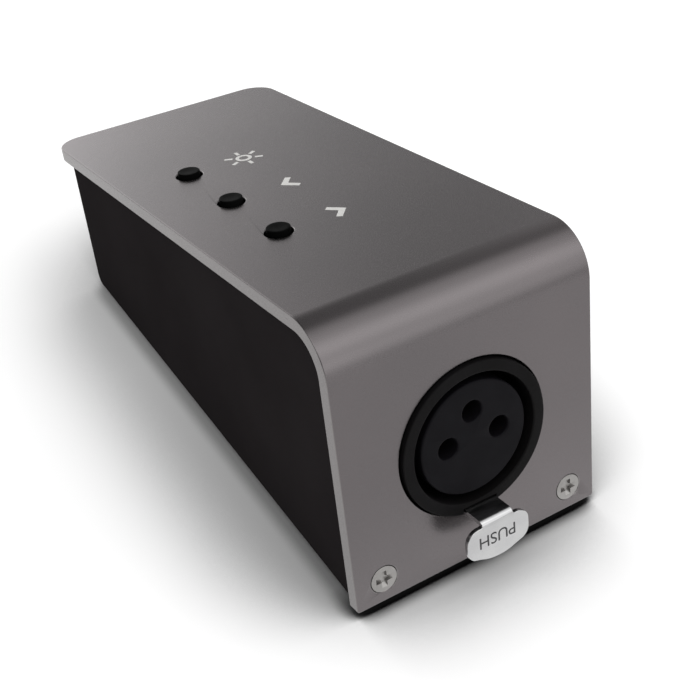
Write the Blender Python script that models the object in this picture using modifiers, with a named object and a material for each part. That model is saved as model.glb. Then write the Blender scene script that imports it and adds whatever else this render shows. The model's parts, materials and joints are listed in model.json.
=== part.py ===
"""A USB to DMX lighting interface: a bent aluminium cover on a wedge-shaped steel tray.

A three-pole female socket with a push latch fills the front, three push buttons stand in the top, and a
square USB socket faces back. One circuit board hangs under the top and carries both sockets and the switches.
"""

import math

import bmesh
import bpy

# All sizes are in metres. They are given in the case's own axes: X across, Y from the front face back along
# the top plate, and Z square to the top plate, from the lower edge of the front face. The tray's bottom
# slopes in these axes, and the whole case is tipped at the end so that this bottom lies level.
COVER_WIDTH = 0.0395
COVER_LENGTH = 0.0873
COVER_HEIGHT = 0.0411
COVER_SHEET = 0.0020
COVER_BEND = 0.0068  # outer radius of the front bend
COVER_CORNER = 0.0043  # rear corners, seen from above

TRAY_SHEET = 0.0010
TRAY_SIDE_INSET = 0.0006  # how far the cover stands out over the tray's sides
TRAY_REAR_INSET = 0.0051
TRAY_TOE = 0.0006  # how far the tray's bottom line passes under the cover's lower edge
TRAY_BEND = 0.0025

SEAT_GAP = 0.0002  # between two faces that touch on the real object
RUN_GAP = 0.0002  # between a moving piece and its guide
CUT_PAST = 0.0010  # how far a cutter runs past the face it opens

SCREW_EDGE = 0.00445  # screw centre in from the cover's side edge
SCREW_HEIGHT = 0.00345
SCREW_HEAD_RADIUS = 0.0019
SCREW_SHANK_RADIUS = 0.0010
SCREW_LENGTH = 0.0055
SINK_GAP = 0.00015
RECESS_WIDTH = 0.0022
RECESS_SLOT = 0.0005
RECESS_DEPTH = 0.0008
CLINCH_NUT_RADIUS = 0.0017
CLINCH_NUT_LENGTH = 0.0018
EAR_HEIGHT = 0.0072

BUTTON_X = -0.0092
BUTTON_FIRST_Y = 0.0287
BUTTON_PITCH = 0.0140
BUTTON_COUNT = 3
BUTTON_HOLE_RADIUS = 0.00205
BUTTON_PROUD = 0.0007
BUTTON_TRAVEL = 0.0003
CAP_FLANGE_REACH = 0.0008  # how far the cap's flange spreads past its hole
CAP_FLANGE = 0.0008
CAP_EDGE = 0.00035
CAP_LIFT_GAP = 0.0004
SWITCH_SIZE = 0.0060
SWITCH_HEIGHT = 0.0033
PLUNGER_RADIUS = 0.0016
PLUNGER_DEPTH = 0.0015

BOARD_THICKNESS = 0.0016
BOARD_SIDE_GAP = 0.0012
BOARD_END_GAP = 0.0015
STANDOFF_LENGTH = 0.0060
STANDOFF_RADIUS = 0.0022
STANDOFF_EDGE = 0.0024  # standoff centre in from the board's side edge
STANDOFF_END = 0.0065  # rear standoffs' centres in from the board's rear edge
BOARD_SCREW_RADIUS = 0.0010
BOARD_SCREW_BITE = 0.0035
BOARD_SCREW_HEAD_RADIUS = 0.0020
BOARD_SCREW_HEAD = 0.0014

SOCKET_PROUD = 0.0006
SOCKET_BORE_RADIUS = 0.0094
SOCKET_RING = 0.0017
SOCKET_RING_GAP = 0.00025
SOCKET_DEPTH = 0.0177
SOCKET_BACK = 0.0040
SOCKET_FLOOR_GAP = 0.0009  # between the housing's lower rear edge and the tray's floor
SOCKET_ROOF = 0.0028  # housing over the bore
INSERT_GROOVE = 0.0012  # between the bore's wall and the insert, for the plug's shell
INSERT_RECESS = 0.0004  # the insert's face lies this far behind the ring's
INSERT_FLANGE = 0.0023
INSERT_TAIL_RADIUS = 0.0072
INSERT_TAIL_END = 0.0012
CONTACT_CIRCLE = 0.0040
CONTACT_HOLE_RADIUS = 0.0015
CONTACT_WALL = 0.00035
CONTACT_RECESS = 0.0036
CONTACT_BORE = 0.0080
PIN_WIDTH = 0.0008
PIN_PROUD = 0.0010
GROUND_STRIP = 0.00025
GROUND_WIDTH = 0.0030
GROUND_LENGTH = 0.0095

LATCH_WIDTH = 0.0050
LATCH_SHEET = 0.0007
LATCH_WALL = 0.00045  # wall of the socket between its bore and the latch
LATCH_REACH = 0.0037  # front face of the tab ahead of the socket's ring
LATCH_TRAVEL = 0.0020
TAB_WIDTH = 0.0099
TAB_DROP = 0.0008  # arm's top down to the tab's shoulders
TAB_HEIGHT = 0.0049
TAB_BULGE = 0.0005
TAB_CORNER = 0.0016
TOOTH_DEPTH = 0.0075
TOOTH_LENGTH = 0.0018
TOOTH_RISE = 0.0005
SPRING_WIRE_RADIUS = 0.00018
SPRING_RADIUS = 0.0009
SPRING_LENGTH = 0.0045
SPRING_TURNS = 5

USB_WIDTH = 0.0120
USB_HEIGHT = 0.0109
USB_DEPTH = 0.0165
USB_PROUD = 0.0004
USB_SHEET = 0.0005
USB_CHAMFER = 0.0022
USB_WALL_GAP = 0.0003
USB_ABOVE_TRAY = 0.00315  # from the tray's bottom line, at its rear end, up to the shell
TONGUE_WIDTH = 0.0056
TONGUE_HEIGHT = 0.0031
TONGUE_RECESS = 0.0016
USB_BLOCK_DEPTH = 0.0060
USB_CONTACT_PITCH = 0.0025
USB_CONTACT_WIDTH = 0.0010
USB_CONTACT_SHEET = 0.0003
USB_POST_PITCH = 0.0020

CLIP_WIDTH = 0.0100
CLIP_SHEET = 0.0008
CLIP_FOOT = 0.0060
TRAY_FLANGE_DEPTH = 0.0060
TRAY_FLANGE_WIDTH = 0.0200

FOOT_RADIUS = 0.0035
FOOT_THICKNESS = 0.0006
FOOT_INSET = 0.0065  # foot centres in from the tray's bottom edges

CHIP_X = 0.0086
CHIP_SHEET = 0.0003
CHIP_PITCH = 0.00127
CHIP_LEG = 0.0011
CHIP_LEG_WIDTH = 0.0004
DRIVER_SIZE = (0.0039, 0.0050, 0.0017)  # across, along and up
DRIVER_LEGS = 8
MICRO_SIZE = (0.0075, 0.0115, 0.0024)
MICRO_LEGS = 18
CRYSTAL_LENGTH = 0.0110
CRYSTAL_WIDTH = 0.0046
CRYSTAL_HEIGHT = 0.0035
CAPACITOR_RADIUS = 0.00315
CAPACITOR_HEIGHT = 0.0054
CONVERTER_SIZE = (0.0195, 0.0070, 0.0092)

FRONTWARD = (math.radians(90), 0, 0)  # turns a piece's own Z to the case's -Y, and its Y to the case's Z
REARWARD = (math.radians(-90), 0, 0)
DOWNWARD = (math.radians(180), 0, 0)
SIDEWAYS = (math.radians(90), 0, math.radians(90))  # turns a drawn outline's X and Y to the case's Y and Z


# Places along the case. The tray stands behind the cover's front, and the socket just behind the same face.
TRAY_FRONT = COVER_SHEET + SEAT_GAP
TRAY_REAR = COVER_LENGTH - TRAY_REAR_INSET
TRAY_HALF = COVER_WIDTH / 2 - TRAY_SIDE_INSET
SOCKET_REAR = TRAY_FRONT + SOCKET_DEPTH
BORE_END = SOCKET_REAR - SOCKET_BACK
GROUND_PIN_Y = BORE_END - INSERT_FLANGE - PIN_WIDTH - GROUND_STRIP
RING_RADIUS = SOCKET_BORE_RADIUS + SOCKET_RING
INSERT_RADIUS = SOCKET_BORE_RADIUS - INSERT_GROOVE
SOCKET_HALF = RING_RADIUS + 2 * SEAT_GAP
BOARD_HALF = TRAY_HALF - TRAY_SHEET - BOARD_SIDE_GAP
BOARD_FRONT = TRAY_FRONT + BOARD_END_GAP
BOARD_REAR = TRAY_REAR - TRAY_SHEET - BOARD_END_GAP
STANDOFF_X = BOARD_HALF - STANDOFF_EDGE
STANDOFF_FRONT_Y = SOCKET_REAR + BOARD_SCREW_HEAD_RADIUS + 3 * SEAT_GAP
STANDOFF_REAR_Y = BOARD_REAR - STANDOFF_END
SCREW_X = COVER_WIDTH / 2 - SCREW_EDGE
USB_FACE = TRAY_REAR + USB_PROUD
TAB_FACE = -SOCKET_PROUD - LATCH_REACH
TOOTH_FRONT = TOOTH_DEPTH - SOCKET_PROUD
TAIL_REAR = TOOTH_FRONT + TOOTH_LENGTH

# Heights, from the plate down through the board, the sockets and the latch.
PLATE_UNDER = COVER_HEIGHT - COVER_SHEET
TRAY_TOP = PLATE_UNDER - SEAT_GAP
STANDOFF_LOW = PLATE_UNDER - SEAT_GAP - STANDOFF_LENGTH
BOARD_TOP = STANDOFF_LOW - SEAT_GAP
BOARD_UNDER = BOARD_TOP - BOARD_THICKNESS
SOCKET_TOP = BOARD_UNDER - SEAT_GAP
SOCKET_HEIGHT = SOCKET_TOP - SOCKET_ROOF - SOCKET_BORE_RADIUS
LATCH_TOP = SOCKET_HEIGHT - SOCKET_BORE_RADIUS - LATCH_WALL - RUN_GAP
LATCH_UNDER = LATCH_TOP - LATCH_SHEET
TOOTH_TOP = LATCH_TOP + RUN_GAP + LATCH_WALL + TOOTH_RISE
TAIL_LOW = LATCH_TOP - 2 * (SPRING_RADIUS + SPRING_WIRE_RADIUS)
SPRING_HEIGHT = (TAIL_LOW + LATCH_TOP) / 2
TAB_LOW = LATCH_TOP - TAB_DROP - TAB_HEIGHT - TAB_BULGE
USB_TOP = BOARD_UNDER - SEAT_GAP
USB_LOW = USB_TOP - USB_HEIGHT
USB_MIDDLE = USB_TOP - USB_HEIGHT / 2
CAP_RADIUS = BUTTON_HOLE_RADIUS - RUN_GAP
CAP_FLANGE_TOP = PLATE_UNDER - CAP_LIFT_GAP
CAP_FLANGE_UNDER = CAP_FLANGE_TOP - CAP_FLANGE

# The tray's bottom line starts at its toe and passes under whichever of the front nuts, the round socket
# and the USB socket hangs the lowest over it.
NUT_FACE = TRAY_FRONT + TRAY_SHEET + 3 * SEAT_GAP / 2
NUT_REAR = NUT_FACE + CLINCH_NUT_LENGTH
UNDER_NUTS = (SCREW_HEIGHT - CLINCH_NUT_RADIUS - SEAT_GAP - TRAY_SHEET + TRAY_TOE) / NUT_REAR
SOLE_LOW = TAIL_LOW - RUN_GAP - LATCH_SHEET
UNDER_SOCKET = (SOLE_LOW - SOCKET_FLOOR_GAP - TRAY_SHEET + TRAY_TOE) / SOCKET_REAR
UNDER_USB = (USB_LOW - USB_ABOVE_TRAY + TRAY_TOE) / TRAY_REAR
SLOPE = min(UNDER_NUTS, UNDER_SOCKET, UNDER_USB)
WEDGE = math.atan(SLOPE)


def tray_line(y, inset=0.0):
    """Height of the tray's sloping bottom at y, or of the line that lies inset above it, square to it."""
    return y * SLOPE - TRAY_TOE + inset / math.cos(WEDGE)


SOCKET_LOW = tray_line(SOCKET_REAR, TRAY_SHEET) + SOCKET_FLOOR_GAP

# Empties the scene, and makes one collection for the pieces and one for the cutters.
for old in list(bpy.data.objects):
    bpy.data.objects.remove(old)
pieces = bpy.data.collections.new("usb_dmx_interface")
cutters = bpy.data.collections.new("cutters")
for group in (pieces, cutters):
    bpy.context.scene.collection.children.link(group)

# The case stands tipped by the wedge, with its feet on the floor and its middle over the origin.
foremost = TAB_FACE * math.cos(WEDGE) + TAB_LOW * math.sin(WEDGE)
rearmost = COVER_LENGTH * math.cos(WEDGE) + COVER_HEIGHT * math.sin(WEDGE)
case = bpy.data.objects.new("case_frame", None)
case.rotation_euler = (-WEDGE, 0, 0)
case.location = (0, -(foremost + rearmost) / 2, TRAY_TOE * math.cos(WEDGE) + FOOT_THICKNESS)
pieces.objects.link(case)


def paint(name, colour, roughness, metallic=0.0):
    """A Principled material with one colour."""
    look = bpy.data.materials.new(name)
    look.use_nodes = True
    shader = look.node_tree.nodes["Principled BSDF"]
    shader.inputs["Base Color"].default_value = (*colour, 1.0)
    shader.inputs["Roughness"].default_value = roughness
    shader.inputs["Metallic"].default_value = metallic
    return look


ALUMINIUM = paint("satin_aluminium", (0.19, 0.18, 0.17), 0.45, 0.9)
BLACK_STEEL = paint("black_powder_coat", (0.012, 0.012, 0.012), 0.6)
BRIGHT_STEEL = paint("bright_steel", (0.6, 0.6, 0.58), 0.25, 1.0)
BLACK_PLASTIC = paint("black_plastic", (0.010, 0.010, 0.010), 0.4)
RUBBER = paint("rubber", (0.02, 0.02, 0.02), 0.9)
BOARD_GREEN = paint("green_board", (0.01, 0.09, 0.03), 0.5)
BRASS = paint("brass", (0.55, 0.4, 0.14), 0.3, 1.0)
GOLD = paint("gilt_contact", (0.8, 0.55, 0.15), 0.25, 1.0)
PALE_PLASTIC = paint("pale_plastic", (0.7, 0.7, 0.66), 0.5)


def add_piece(name, mesh, look, place=(0, 0, 0), turn=(0, 0, 0)):
    """Puts a mesh in the case's axes as a named piece."""
    piece = bpy.data.objects.new(name, mesh)
    mesh.materials.append(look)
    piece.parent = case
    piece.location = place
    piece.rotation_euler = turn
    pieces.objects.link(piece)
    return piece


def mesh_of(shape, name):
    mesh = bpy.data.meshes.new(name)
    shape.to_mesh(mesh)
    shape.free()
    return mesh


def block(name, low, high, look):
    """A box between two opposite corners."""
    size = [b - a for a, b in zip(low, high)]
    shape = bmesh.new()
    bmesh.ops.create_cube(shape, size=1.0)
    bmesh.ops.scale(shape, vec=size, verts=shape.verts)
    return add_piece(name, mesh_of(shape, name), look, [(a + b) / 2 for a, b in zip(low, high)])


def rod(name, radius, length, look, place, turn=(0, 0, 0), sides=32):
    """A cylinder that runs from place along its own Z."""
    shape = bmesh.new()
    ends = {"radius1": radius, "radius2": radius}
    bmesh.ops.create_cone(shape, cap_ends=True, segments=sides, depth=length, **ends)
    bmesh.ops.translate(shape, vec=(0, 0, length / 2), verts=shape.verts)
    return add_piece(name, mesh_of(shape, name), look, place, turn)


def turned(name, profile, look, place, turn=(0, 0, 0), sides=32):
    """A profile of (radius, height) points, run down its outer side, turned about its own Z. A profile
    that ends at its first point makes a ring."""
    shape = bmesh.new()
    ring = profile[0] == profile[-1]
    points = [shape.verts.new((radius, 0, height)) for radius, height in profile[ring:]]
    if ring:
        points.insert(0, points[-1])
    for first, second in zip(points, points[1:]):
        shape.edges.new((first, second))
    piece = add_piece(name, mesh_of(shape, name), look, place, turn)
    screw = piece.modifiers.new("Turn", "SCREW")
    screw.steps = sides
    screw.render_steps = sides
    screw.use_merge_vertices = True
    screw.merge_threshold = 0.00001
    return piece


def drawn(name, points, thickness, look, place=(0, 0, 0), turn=(0, 0, 0)):
    """A flat outline, solid to half its thickness on each side of its plane."""
    curve = bpy.data.curves.new(name, "CURVE")
    curve.dimensions = "2D"
    curve.fill_mode = "BOTH"
    curve.extrude = thickness / 2
    line = curve.splines.new("POLY")
    line.points.add(len(points) - 1)
    for spot, (right, up) in zip(line.points, points):
        spot.co = (right, up, 0, 1)
    line.use_cyclic_u = True
    return as_mesh(name, curve, look, place, turn)


def as_mesh(name, curve, look, place=(0, 0, 0), turn=(0, 0, 0)):
    """Makes a mesh piece of a curve, with its loose caps welded on."""
    outline = bpy.data.objects.new(name + "_curve", curve)
    pieces.objects.link(outline)
    graph = bpy.context.evaluated_depsgraph_get()
    mesh = bpy.data.meshes.new_from_object(outline.evaluated_get(graph))
    bpy.data.objects.remove(outline)
    shape = bmesh.new()
    shape.from_mesh(mesh)
    bmesh.ops.remove_doubles(shape, verts=shape.verts, dist=0.000001)
    bmesh.ops.dissolve_limit(shape, angle_limit=0.001, verts=shape.verts, edges=shape.edges)
    bmesh.ops.recalc_face_normals(shape, faces=shape.faces)
    shape.to_mesh(mesh)
    shape.free()
    mesh.name = name
    return add_piece(name, mesh, look, place, turn)


def combine(piece, tool, operation):
    """Cuts a piece with a tool, or joins the tool to it."""
    pieces.objects.unlink(tool)
    cutters.objects.link(tool)
    tool.hide_render = True
    tool.display_type = "WIRE"
    step = piece.modifiers.new(tool.name, "BOOLEAN")
    step.operation = operation
    step.object = tool


def cut(piece, tool):
    combine(piece, tool, "DIFFERENCE")


def join(piece, tool):
    combine(piece, tool, "UNION")


def arc(centre, radius, start, end, steps):
    """Points on a circle from one angle to another, in degrees, both ends included."""
    angles = [math.radians(start + (end - start) * i / steps) for i in range(steps + 1)]
    return [(centre[0] + radius * math.cos(a), centre[1] + radius * math.sin(a)) for a in angles]


def button_y(index):
    return BUTTON_FIRST_Y + index * BUTTON_PITCH


def top_cover():
    """The aluminium plate, bent down at the front, with its two rear corners rounded."""
    centre = (COVER_BEND, COVER_HEIGHT - COVER_BEND)
    profile = (
        [(0, 0), (COVER_SHEET, 0)]
        + arc(centre, COVER_BEND - COVER_SHEET, 180, 90, 12)
        + [(COVER_LENGTH, PLATE_UNDER), (COVER_LENGTH, COVER_HEIGHT)]
        + arc(centre, COVER_BEND, 90, 180, 16)
    )
    cover = drawn("top_cover", profile, COVER_WIDTH, ALUMINIUM, turn=SIDEWAYS)
    shape = bmesh.new()
    shape.from_mesh(cover.data)
    behind = COVER_LENGTH - COVER_SHEET
    upright = [e for e in shape.edges if min(v.co.x for v in e.verts) > behind]
    upright = [e for e in upright if abs(e.verts[0].co.y - e.verts[1].co.y) > COVER_SHEET / 2]
    bmesh.ops.bevel(shape, geom=upright, offset=COVER_CORNER, segments=10, profile=0.5, affect="EDGES")
    shape.to_mesh(cover.data)
    shape.free()
    through = COVER_SHEET + 2 * CUT_PAST
    hole = RING_RADIUS + SOCKET_RING_GAP
    place = (0, COVER_SHEET + CUT_PAST, SOCKET_HEIGHT)
    cut(cover, rod("socket_hole", hole, through, ALUMINIUM, place, FRONTWARD, 64))
    for i in range(BUTTON_COUNT):
        place = (BUTTON_X, button_y(i), PLATE_UNDER - CUT_PAST)
        cut(cover, rod(f"button_hole_{i + 1}", BUTTON_HOLE_RADIUS, through, ALUMINIUM, place))
    sink = SCREW_HEAD_RADIUS + SINK_GAP
    hole = SCREW_SHANK_RADIUS + SEAT_GAP
    for side in (-1, 1):
        profile = [
            (0, CUT_PAST),
            (sink, CUT_PAST),
            (sink, 0),
            (hole, hole - sink),
            (hole, -COVER_SHEET - CUT_PAST),
            (0, -COVER_SHEET - CUT_PAST),
        ]
        place = (side * SCREW_X, 0, SCREW_HEIGHT)
        cut(cover, turned(f"sink_{side}", profile, ALUMINIUM, place, FRONTWARD, 24))


def tray_outline(inset, front, top):
    """The tray's side view from its front bottom corner round to its rear top, drawn in by inset."""
    bend = TRAY_BEND - inset
    rear = TRAY_REAR - inset
    centre = (rear - bend, tray_line(rear - bend, inset) + bend / math.cos(WEDGE))
    corner = [(front, tray_line(front, inset))]
    return corner + arc(centre, bend, math.degrees(WEDGE) - 90, 0, 8) + [(rear, top)]


def base_tray():
    """The folded steel tray: floor, sides and rear wall, two front ears and a flange along its rear top."""
    under_bend = (COVER_BEND, COVER_HEIGHT - COVER_BEND)
    corner = arc(under_bend, COVER_BEND - TRAY_FRONT, 90, 180, 8)
    outer = tray_outline(0, TRAY_FRONT, TRAY_TOP) + corner
    tray = drawn("base_tray", outer, 2 * TRAY_HALF, BLACK_STEEL, turn=SIDEWAYS)
    past = TRAY_TOP + CUT_PAST
    inner = tray_outline(TRAY_SHEET, TRAY_FRONT - CUT_PAST, past) + [(TRAY_FRONT - CUT_PAST, past)]
    inner_half = TRAY_HALF - TRAY_SHEET
    cut(tray, drawn("tray_hollow", inner, 2 * inner_half, BLACK_STEEL, turn=SIDEWAYS))
    sunk = TRAY_SHEET / 2
    shy = SEAT_GAP / 2
    ear_rear = TRAY_FRONT + shy + TRAY_SHEET
    for side in (-1, 1):
        near = side * (SOCKET_HALF + 3 * RUN_GAP)
        far = side * (inner_half + sunk)
        low = (min(near, far), TRAY_FRONT + shy, tray_line(TRAY_FRONT, sunk))
        join(tray, block(f"ear_{side}", low, (max(near, far), ear_rear, EAR_HEIGHT), BLACK_STEEL))
        place = (side * SCREW_X, ear_rear + CUT_PAST, SCREW_HEIGHT)
        hole = SCREW_SHANK_RADIUS + SEAT_GAP
        long = TRAY_SHEET + 2 * CUT_PAST
        cut(tray, rod(f"ear_hole_{side}", hole, long, BLACK_STEEL, place, FRONTWARD, 24))
    flange_front = TRAY_REAR - TRAY_FLANGE_DEPTH
    low = (-TRAY_FLANGE_WIDTH / 2, flange_front, TRAY_TOP - shy - TRAY_SHEET)
    join(tray, block("rear_flange", low, (-low[0], TRAY_REAR - sunk, TRAY_TOP - shy), BLACK_STEEL))
    half = USB_WIDTH / 2 + USB_WALL_GAP
    low = (-half, TRAY_REAR - TRAY_SHEET - CUT_PAST, USB_LOW - USB_WALL_GAP)
    high = (half, TRAY_REAR + CUT_PAST, USB_TOP + USB_WALL_GAP)
    cut(tray, block("usb_opening", low, high, BLACK_STEEL))


def front_fixings():
    """Two countersunk cross-head screws and the clinch nuts that they run into, behind the tray's ears."""
    for side, word in ((-1, "left"), (1, "right")):
        cone = SCREW_HEAD_RADIUS - SCREW_SHANK_RADIUS
        profile = [
            (0, 0),
            (SCREW_HEAD_RADIUS, 0),
            (SCREW_SHANK_RADIUS, -cone),
            (SCREW_SHANK_RADIUS, -SCREW_LENGTH),
            (0, -SCREW_LENGTH),
        ]
        place = (side * SCREW_X, 0, SCREW_HEIGHT)
        screw = turned(f"front_screw_{word}", profile, BRIGHT_STEEL, place, FRONTWARD, 24)
        long, thin = RECESS_WIDTH / 2, RECESS_SLOT / 2
        for k, (half_x, half_z) in enumerate(((long, thin), (thin, long))):
            low = (side * SCREW_X - half_x, -CUT_PAST, SCREW_HEIGHT - half_z)
            high = (side * SCREW_X + half_x, RECESS_DEPTH, SCREW_HEIGHT + half_z)
            cut(screw, block(f"recess_{word}_{k}", low, high, BRIGHT_STEEL))
        bore = SCREW_SHANK_RADIUS + SEAT_GAP / 2
        profile = [
            (bore, 0),
            (CLINCH_NUT_RADIUS, 0),
            (CLINCH_NUT_RADIUS, -CLINCH_NUT_LENGTH),
            (bore, -CLINCH_NUT_LENGTH),
            (bore, 0),
        ]
        place = (side * SCREW_X, NUT_FACE, SCREW_HEIGHT)
        turned(f"clinch_nut_{word}", profile, BRIGHT_STEEL, place, FRONTWARD, 24)


def rear_clip():
    """The strip welded under the plate, whose lower lip takes the tray's rear flange."""
    pad_top = PLATE_UNDER - SEAT_GAP
    lip_top = TRAY_TOP - TRAY_SHEET - 3 * SEAT_GAP / 2
    riser_rear = TRAY_REAR - TRAY_FLANGE_DEPTH - SEAT_GAP
    riser_front = riser_rear - CLIP_SHEET
    lip_rear = TRAY_REAR - 2 * TRAY_SHEET
    profile = [
        (riser_rear - CLIP_FOOT, pad_top - CLIP_SHEET),
        (riser_front, pad_top - CLIP_SHEET),
        (riser_front, lip_top - CLIP_SHEET),
        (lip_rear, lip_top - CLIP_SHEET),
        (lip_rear, lip_top),
        (riser_rear, lip_top),
        (riser_rear, pad_top),
        (riser_rear - CLIP_FOOT, pad_top),
    ]
    drawn("rear_clip", profile, CLIP_WIDTH, BRIGHT_STEEL, turn=SIDEWAYS)


def feet():
    """Four thin round pads under the tray, on the level floor."""
    tall = FOOT_THICKNESS - SEAT_GAP
    along = math.cos(WEDGE)
    front = TRAY_FRONT / along + case.location.y + FOOT_INSET
    rear = (TRAY_REAR - TRAY_BEND) / along + case.location.y - FOOT_INSET
    across = TRAY_HALF - FOOT_INSET
    for end, y in (("front", front), ("rear", rear)):
        for side, x in (("left", -across), ("right", across)):
            pad = rod(f"foot_{end}_{side}", FOOT_RADIUS, tall, RUBBER, (x, y, 0))
            pad.parent = None


def main_board():
    """The circuit board, with holes for its four screws and for the sockets' pins."""
    low = (-BOARD_HALF, BOARD_FRONT, BOARD_UNDER)
    board = block("main_board", low, (BOARD_HALF, BOARD_REAR, BOARD_TOP), BOARD_GREEN)
    through = BOARD_THICKNESS + 2 * CUT_PAST
    below = BOARD_UNDER - CUT_PAST
    for name, x, y in standoff_places():
        hole = BOARD_SCREW_RADIUS + SEAT_GAP
        cut(board, rod(f"hole_{name}", hole, through, BOARD_GREEN, (x, y, below), sides=16))
    wide = PIN_WIDTH / math.sqrt(2) + SEAT_GAP / 2
    for k, (x, y) in enumerate(pin_places()):
        cut(board, rod(f"pin_hole_{k}", wide, through, BOARD_GREEN, (x, y, below), sides=12))


def standoff_places():
    ends = (("front", STANDOFF_FRONT_Y), ("rear", STANDOFF_REAR_Y))
    sides = (("left", -STANDOFF_X), ("right", STANDOFF_X))
    return [(f"{end}_{side}", x, y) for end, y in ends for side, x in sides]


def contact_places():
    """X and Z of the three contacts, in the order left, right and top."""
    return [
        (-CONTACT_CIRCLE, SOCKET_HEIGHT),
        (CONTACT_CIRCLE, SOCKET_HEIGHT),
        (0, SOCKET_HEIGHT + CONTACT_CIRCLE),
    ]


def pin_places():
    """X and Y of the pins that pass up through the board: three contacts, the ground strip and the USB's."""
    y = SOCKET_REAR + SEAT_GAP + PIN_WIDTH
    found = [(x, y) for x, _ in contact_places()]
    found.append((0, GROUND_PIN_Y))
    return found + [(x, y) for x, y, _ in usb_contacts()]


def board_supports():
    """Standoffs clinched into the plate's underside, and the pan-head screws that hold the board to them."""
    for name, x, y in standoff_places():
        hole = BOARD_SCREW_RADIUS + SEAT_GAP / 2
        depth = BOARD_SCREW_BITE + SEAT_GAP
        profile = [
            (0, STANDOFF_LENGTH),
            (STANDOFF_RADIUS, STANDOFF_LENGTH),
            (STANDOFF_RADIUS, 0),
            (hole, 0),
            (hole, depth),
            (0, depth),
        ]
        turned(f"standoff_{name}", profile, BRIGHT_STEEL, (x, y, STANDOFF_LOW), sides=16)
        head_top = BOARD_UNDER - SEAT_GAP
        reach = BOARD_THICKNESS + 2 * SEAT_GAP + BOARD_SCREW_BITE
        profile = [
            (0, reach),
            (BOARD_SCREW_RADIUS, reach),
            (BOARD_SCREW_RADIUS, 0),
            (BOARD_SCREW_HEAD_RADIUS, 0),
            (BOARD_SCREW_HEAD_RADIUS, -BOARD_SCREW_HEAD / 2),
            (BOARD_SCREW_HEAD_RADIUS / 2, -BOARD_SCREW_HEAD),
            (0, -BOARD_SCREW_HEAD),
        ]
        turned(f"board_screw_{name}", profile, BRIGHT_STEEL, (x, y, head_top), sides=16)


def buttons():
    """Each push button: a flanged cap under the plate, on the plunger of a tactile switch on the board."""
    switch_low = BOARD_TOP + SEAT_GAP
    switch_top = switch_low + SWITCH_HEIGHT
    plunger_top = CAP_FLANGE_UNDER - SEAT_GAP
    plunger_low = switch_top - PLUNGER_DEPTH
    half = SWITCH_SIZE / 2
    for i in range(BUTTON_COUNT):
        x, y = BUTTON_X, button_y(i)
        high = (x + half, y + half, switch_top)
        body = block(f"switch_body_{i + 1}", (x - half, y - half, switch_low), high, BLACK_PLASTIC)
        well = PLUNGER_DEPTH + BUTTON_TRAVEL + RUN_GAP
        place = (x, y, switch_top - well)
        radius = PLUNGER_RADIUS + RUN_GAP
        cut(body, rod(f"plunger_well_{i + 1}", radius, well + CUT_PAST, BLACK_PLASTIC, place, sides=20))
        tall = plunger_top - plunger_low
        name = f"switch_plunger_{i + 1}"
        rod(name, PLUNGER_RADIUS, tall, BLACK_PLASTIC, (x, y, plunger_low), sides=20)
        top = COVER_HEIGHT + BUTTON_PROUD - CAP_FLANGE_UNDER
        spread = BUTTON_HOLE_RADIUS + CAP_FLANGE_REACH
        edge = [
            (CAP_RADIUS - CAP_EDGE + right, top - CAP_EDGE + up)
            for right, up in arc((0, 0), CAP_EDGE, 90, 0, 3)
        ]
        profile = [(0, top)] + edge + [(CAP_RADIUS, CAP_FLANGE), (spread, CAP_FLANGE), (spread, 0), (0, 0)]
        turned(f"button_cap_{i + 1}", profile, BLACK_PLASTIC, (x, y, CAP_FLANGE_UNDER), sides=24)


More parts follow.
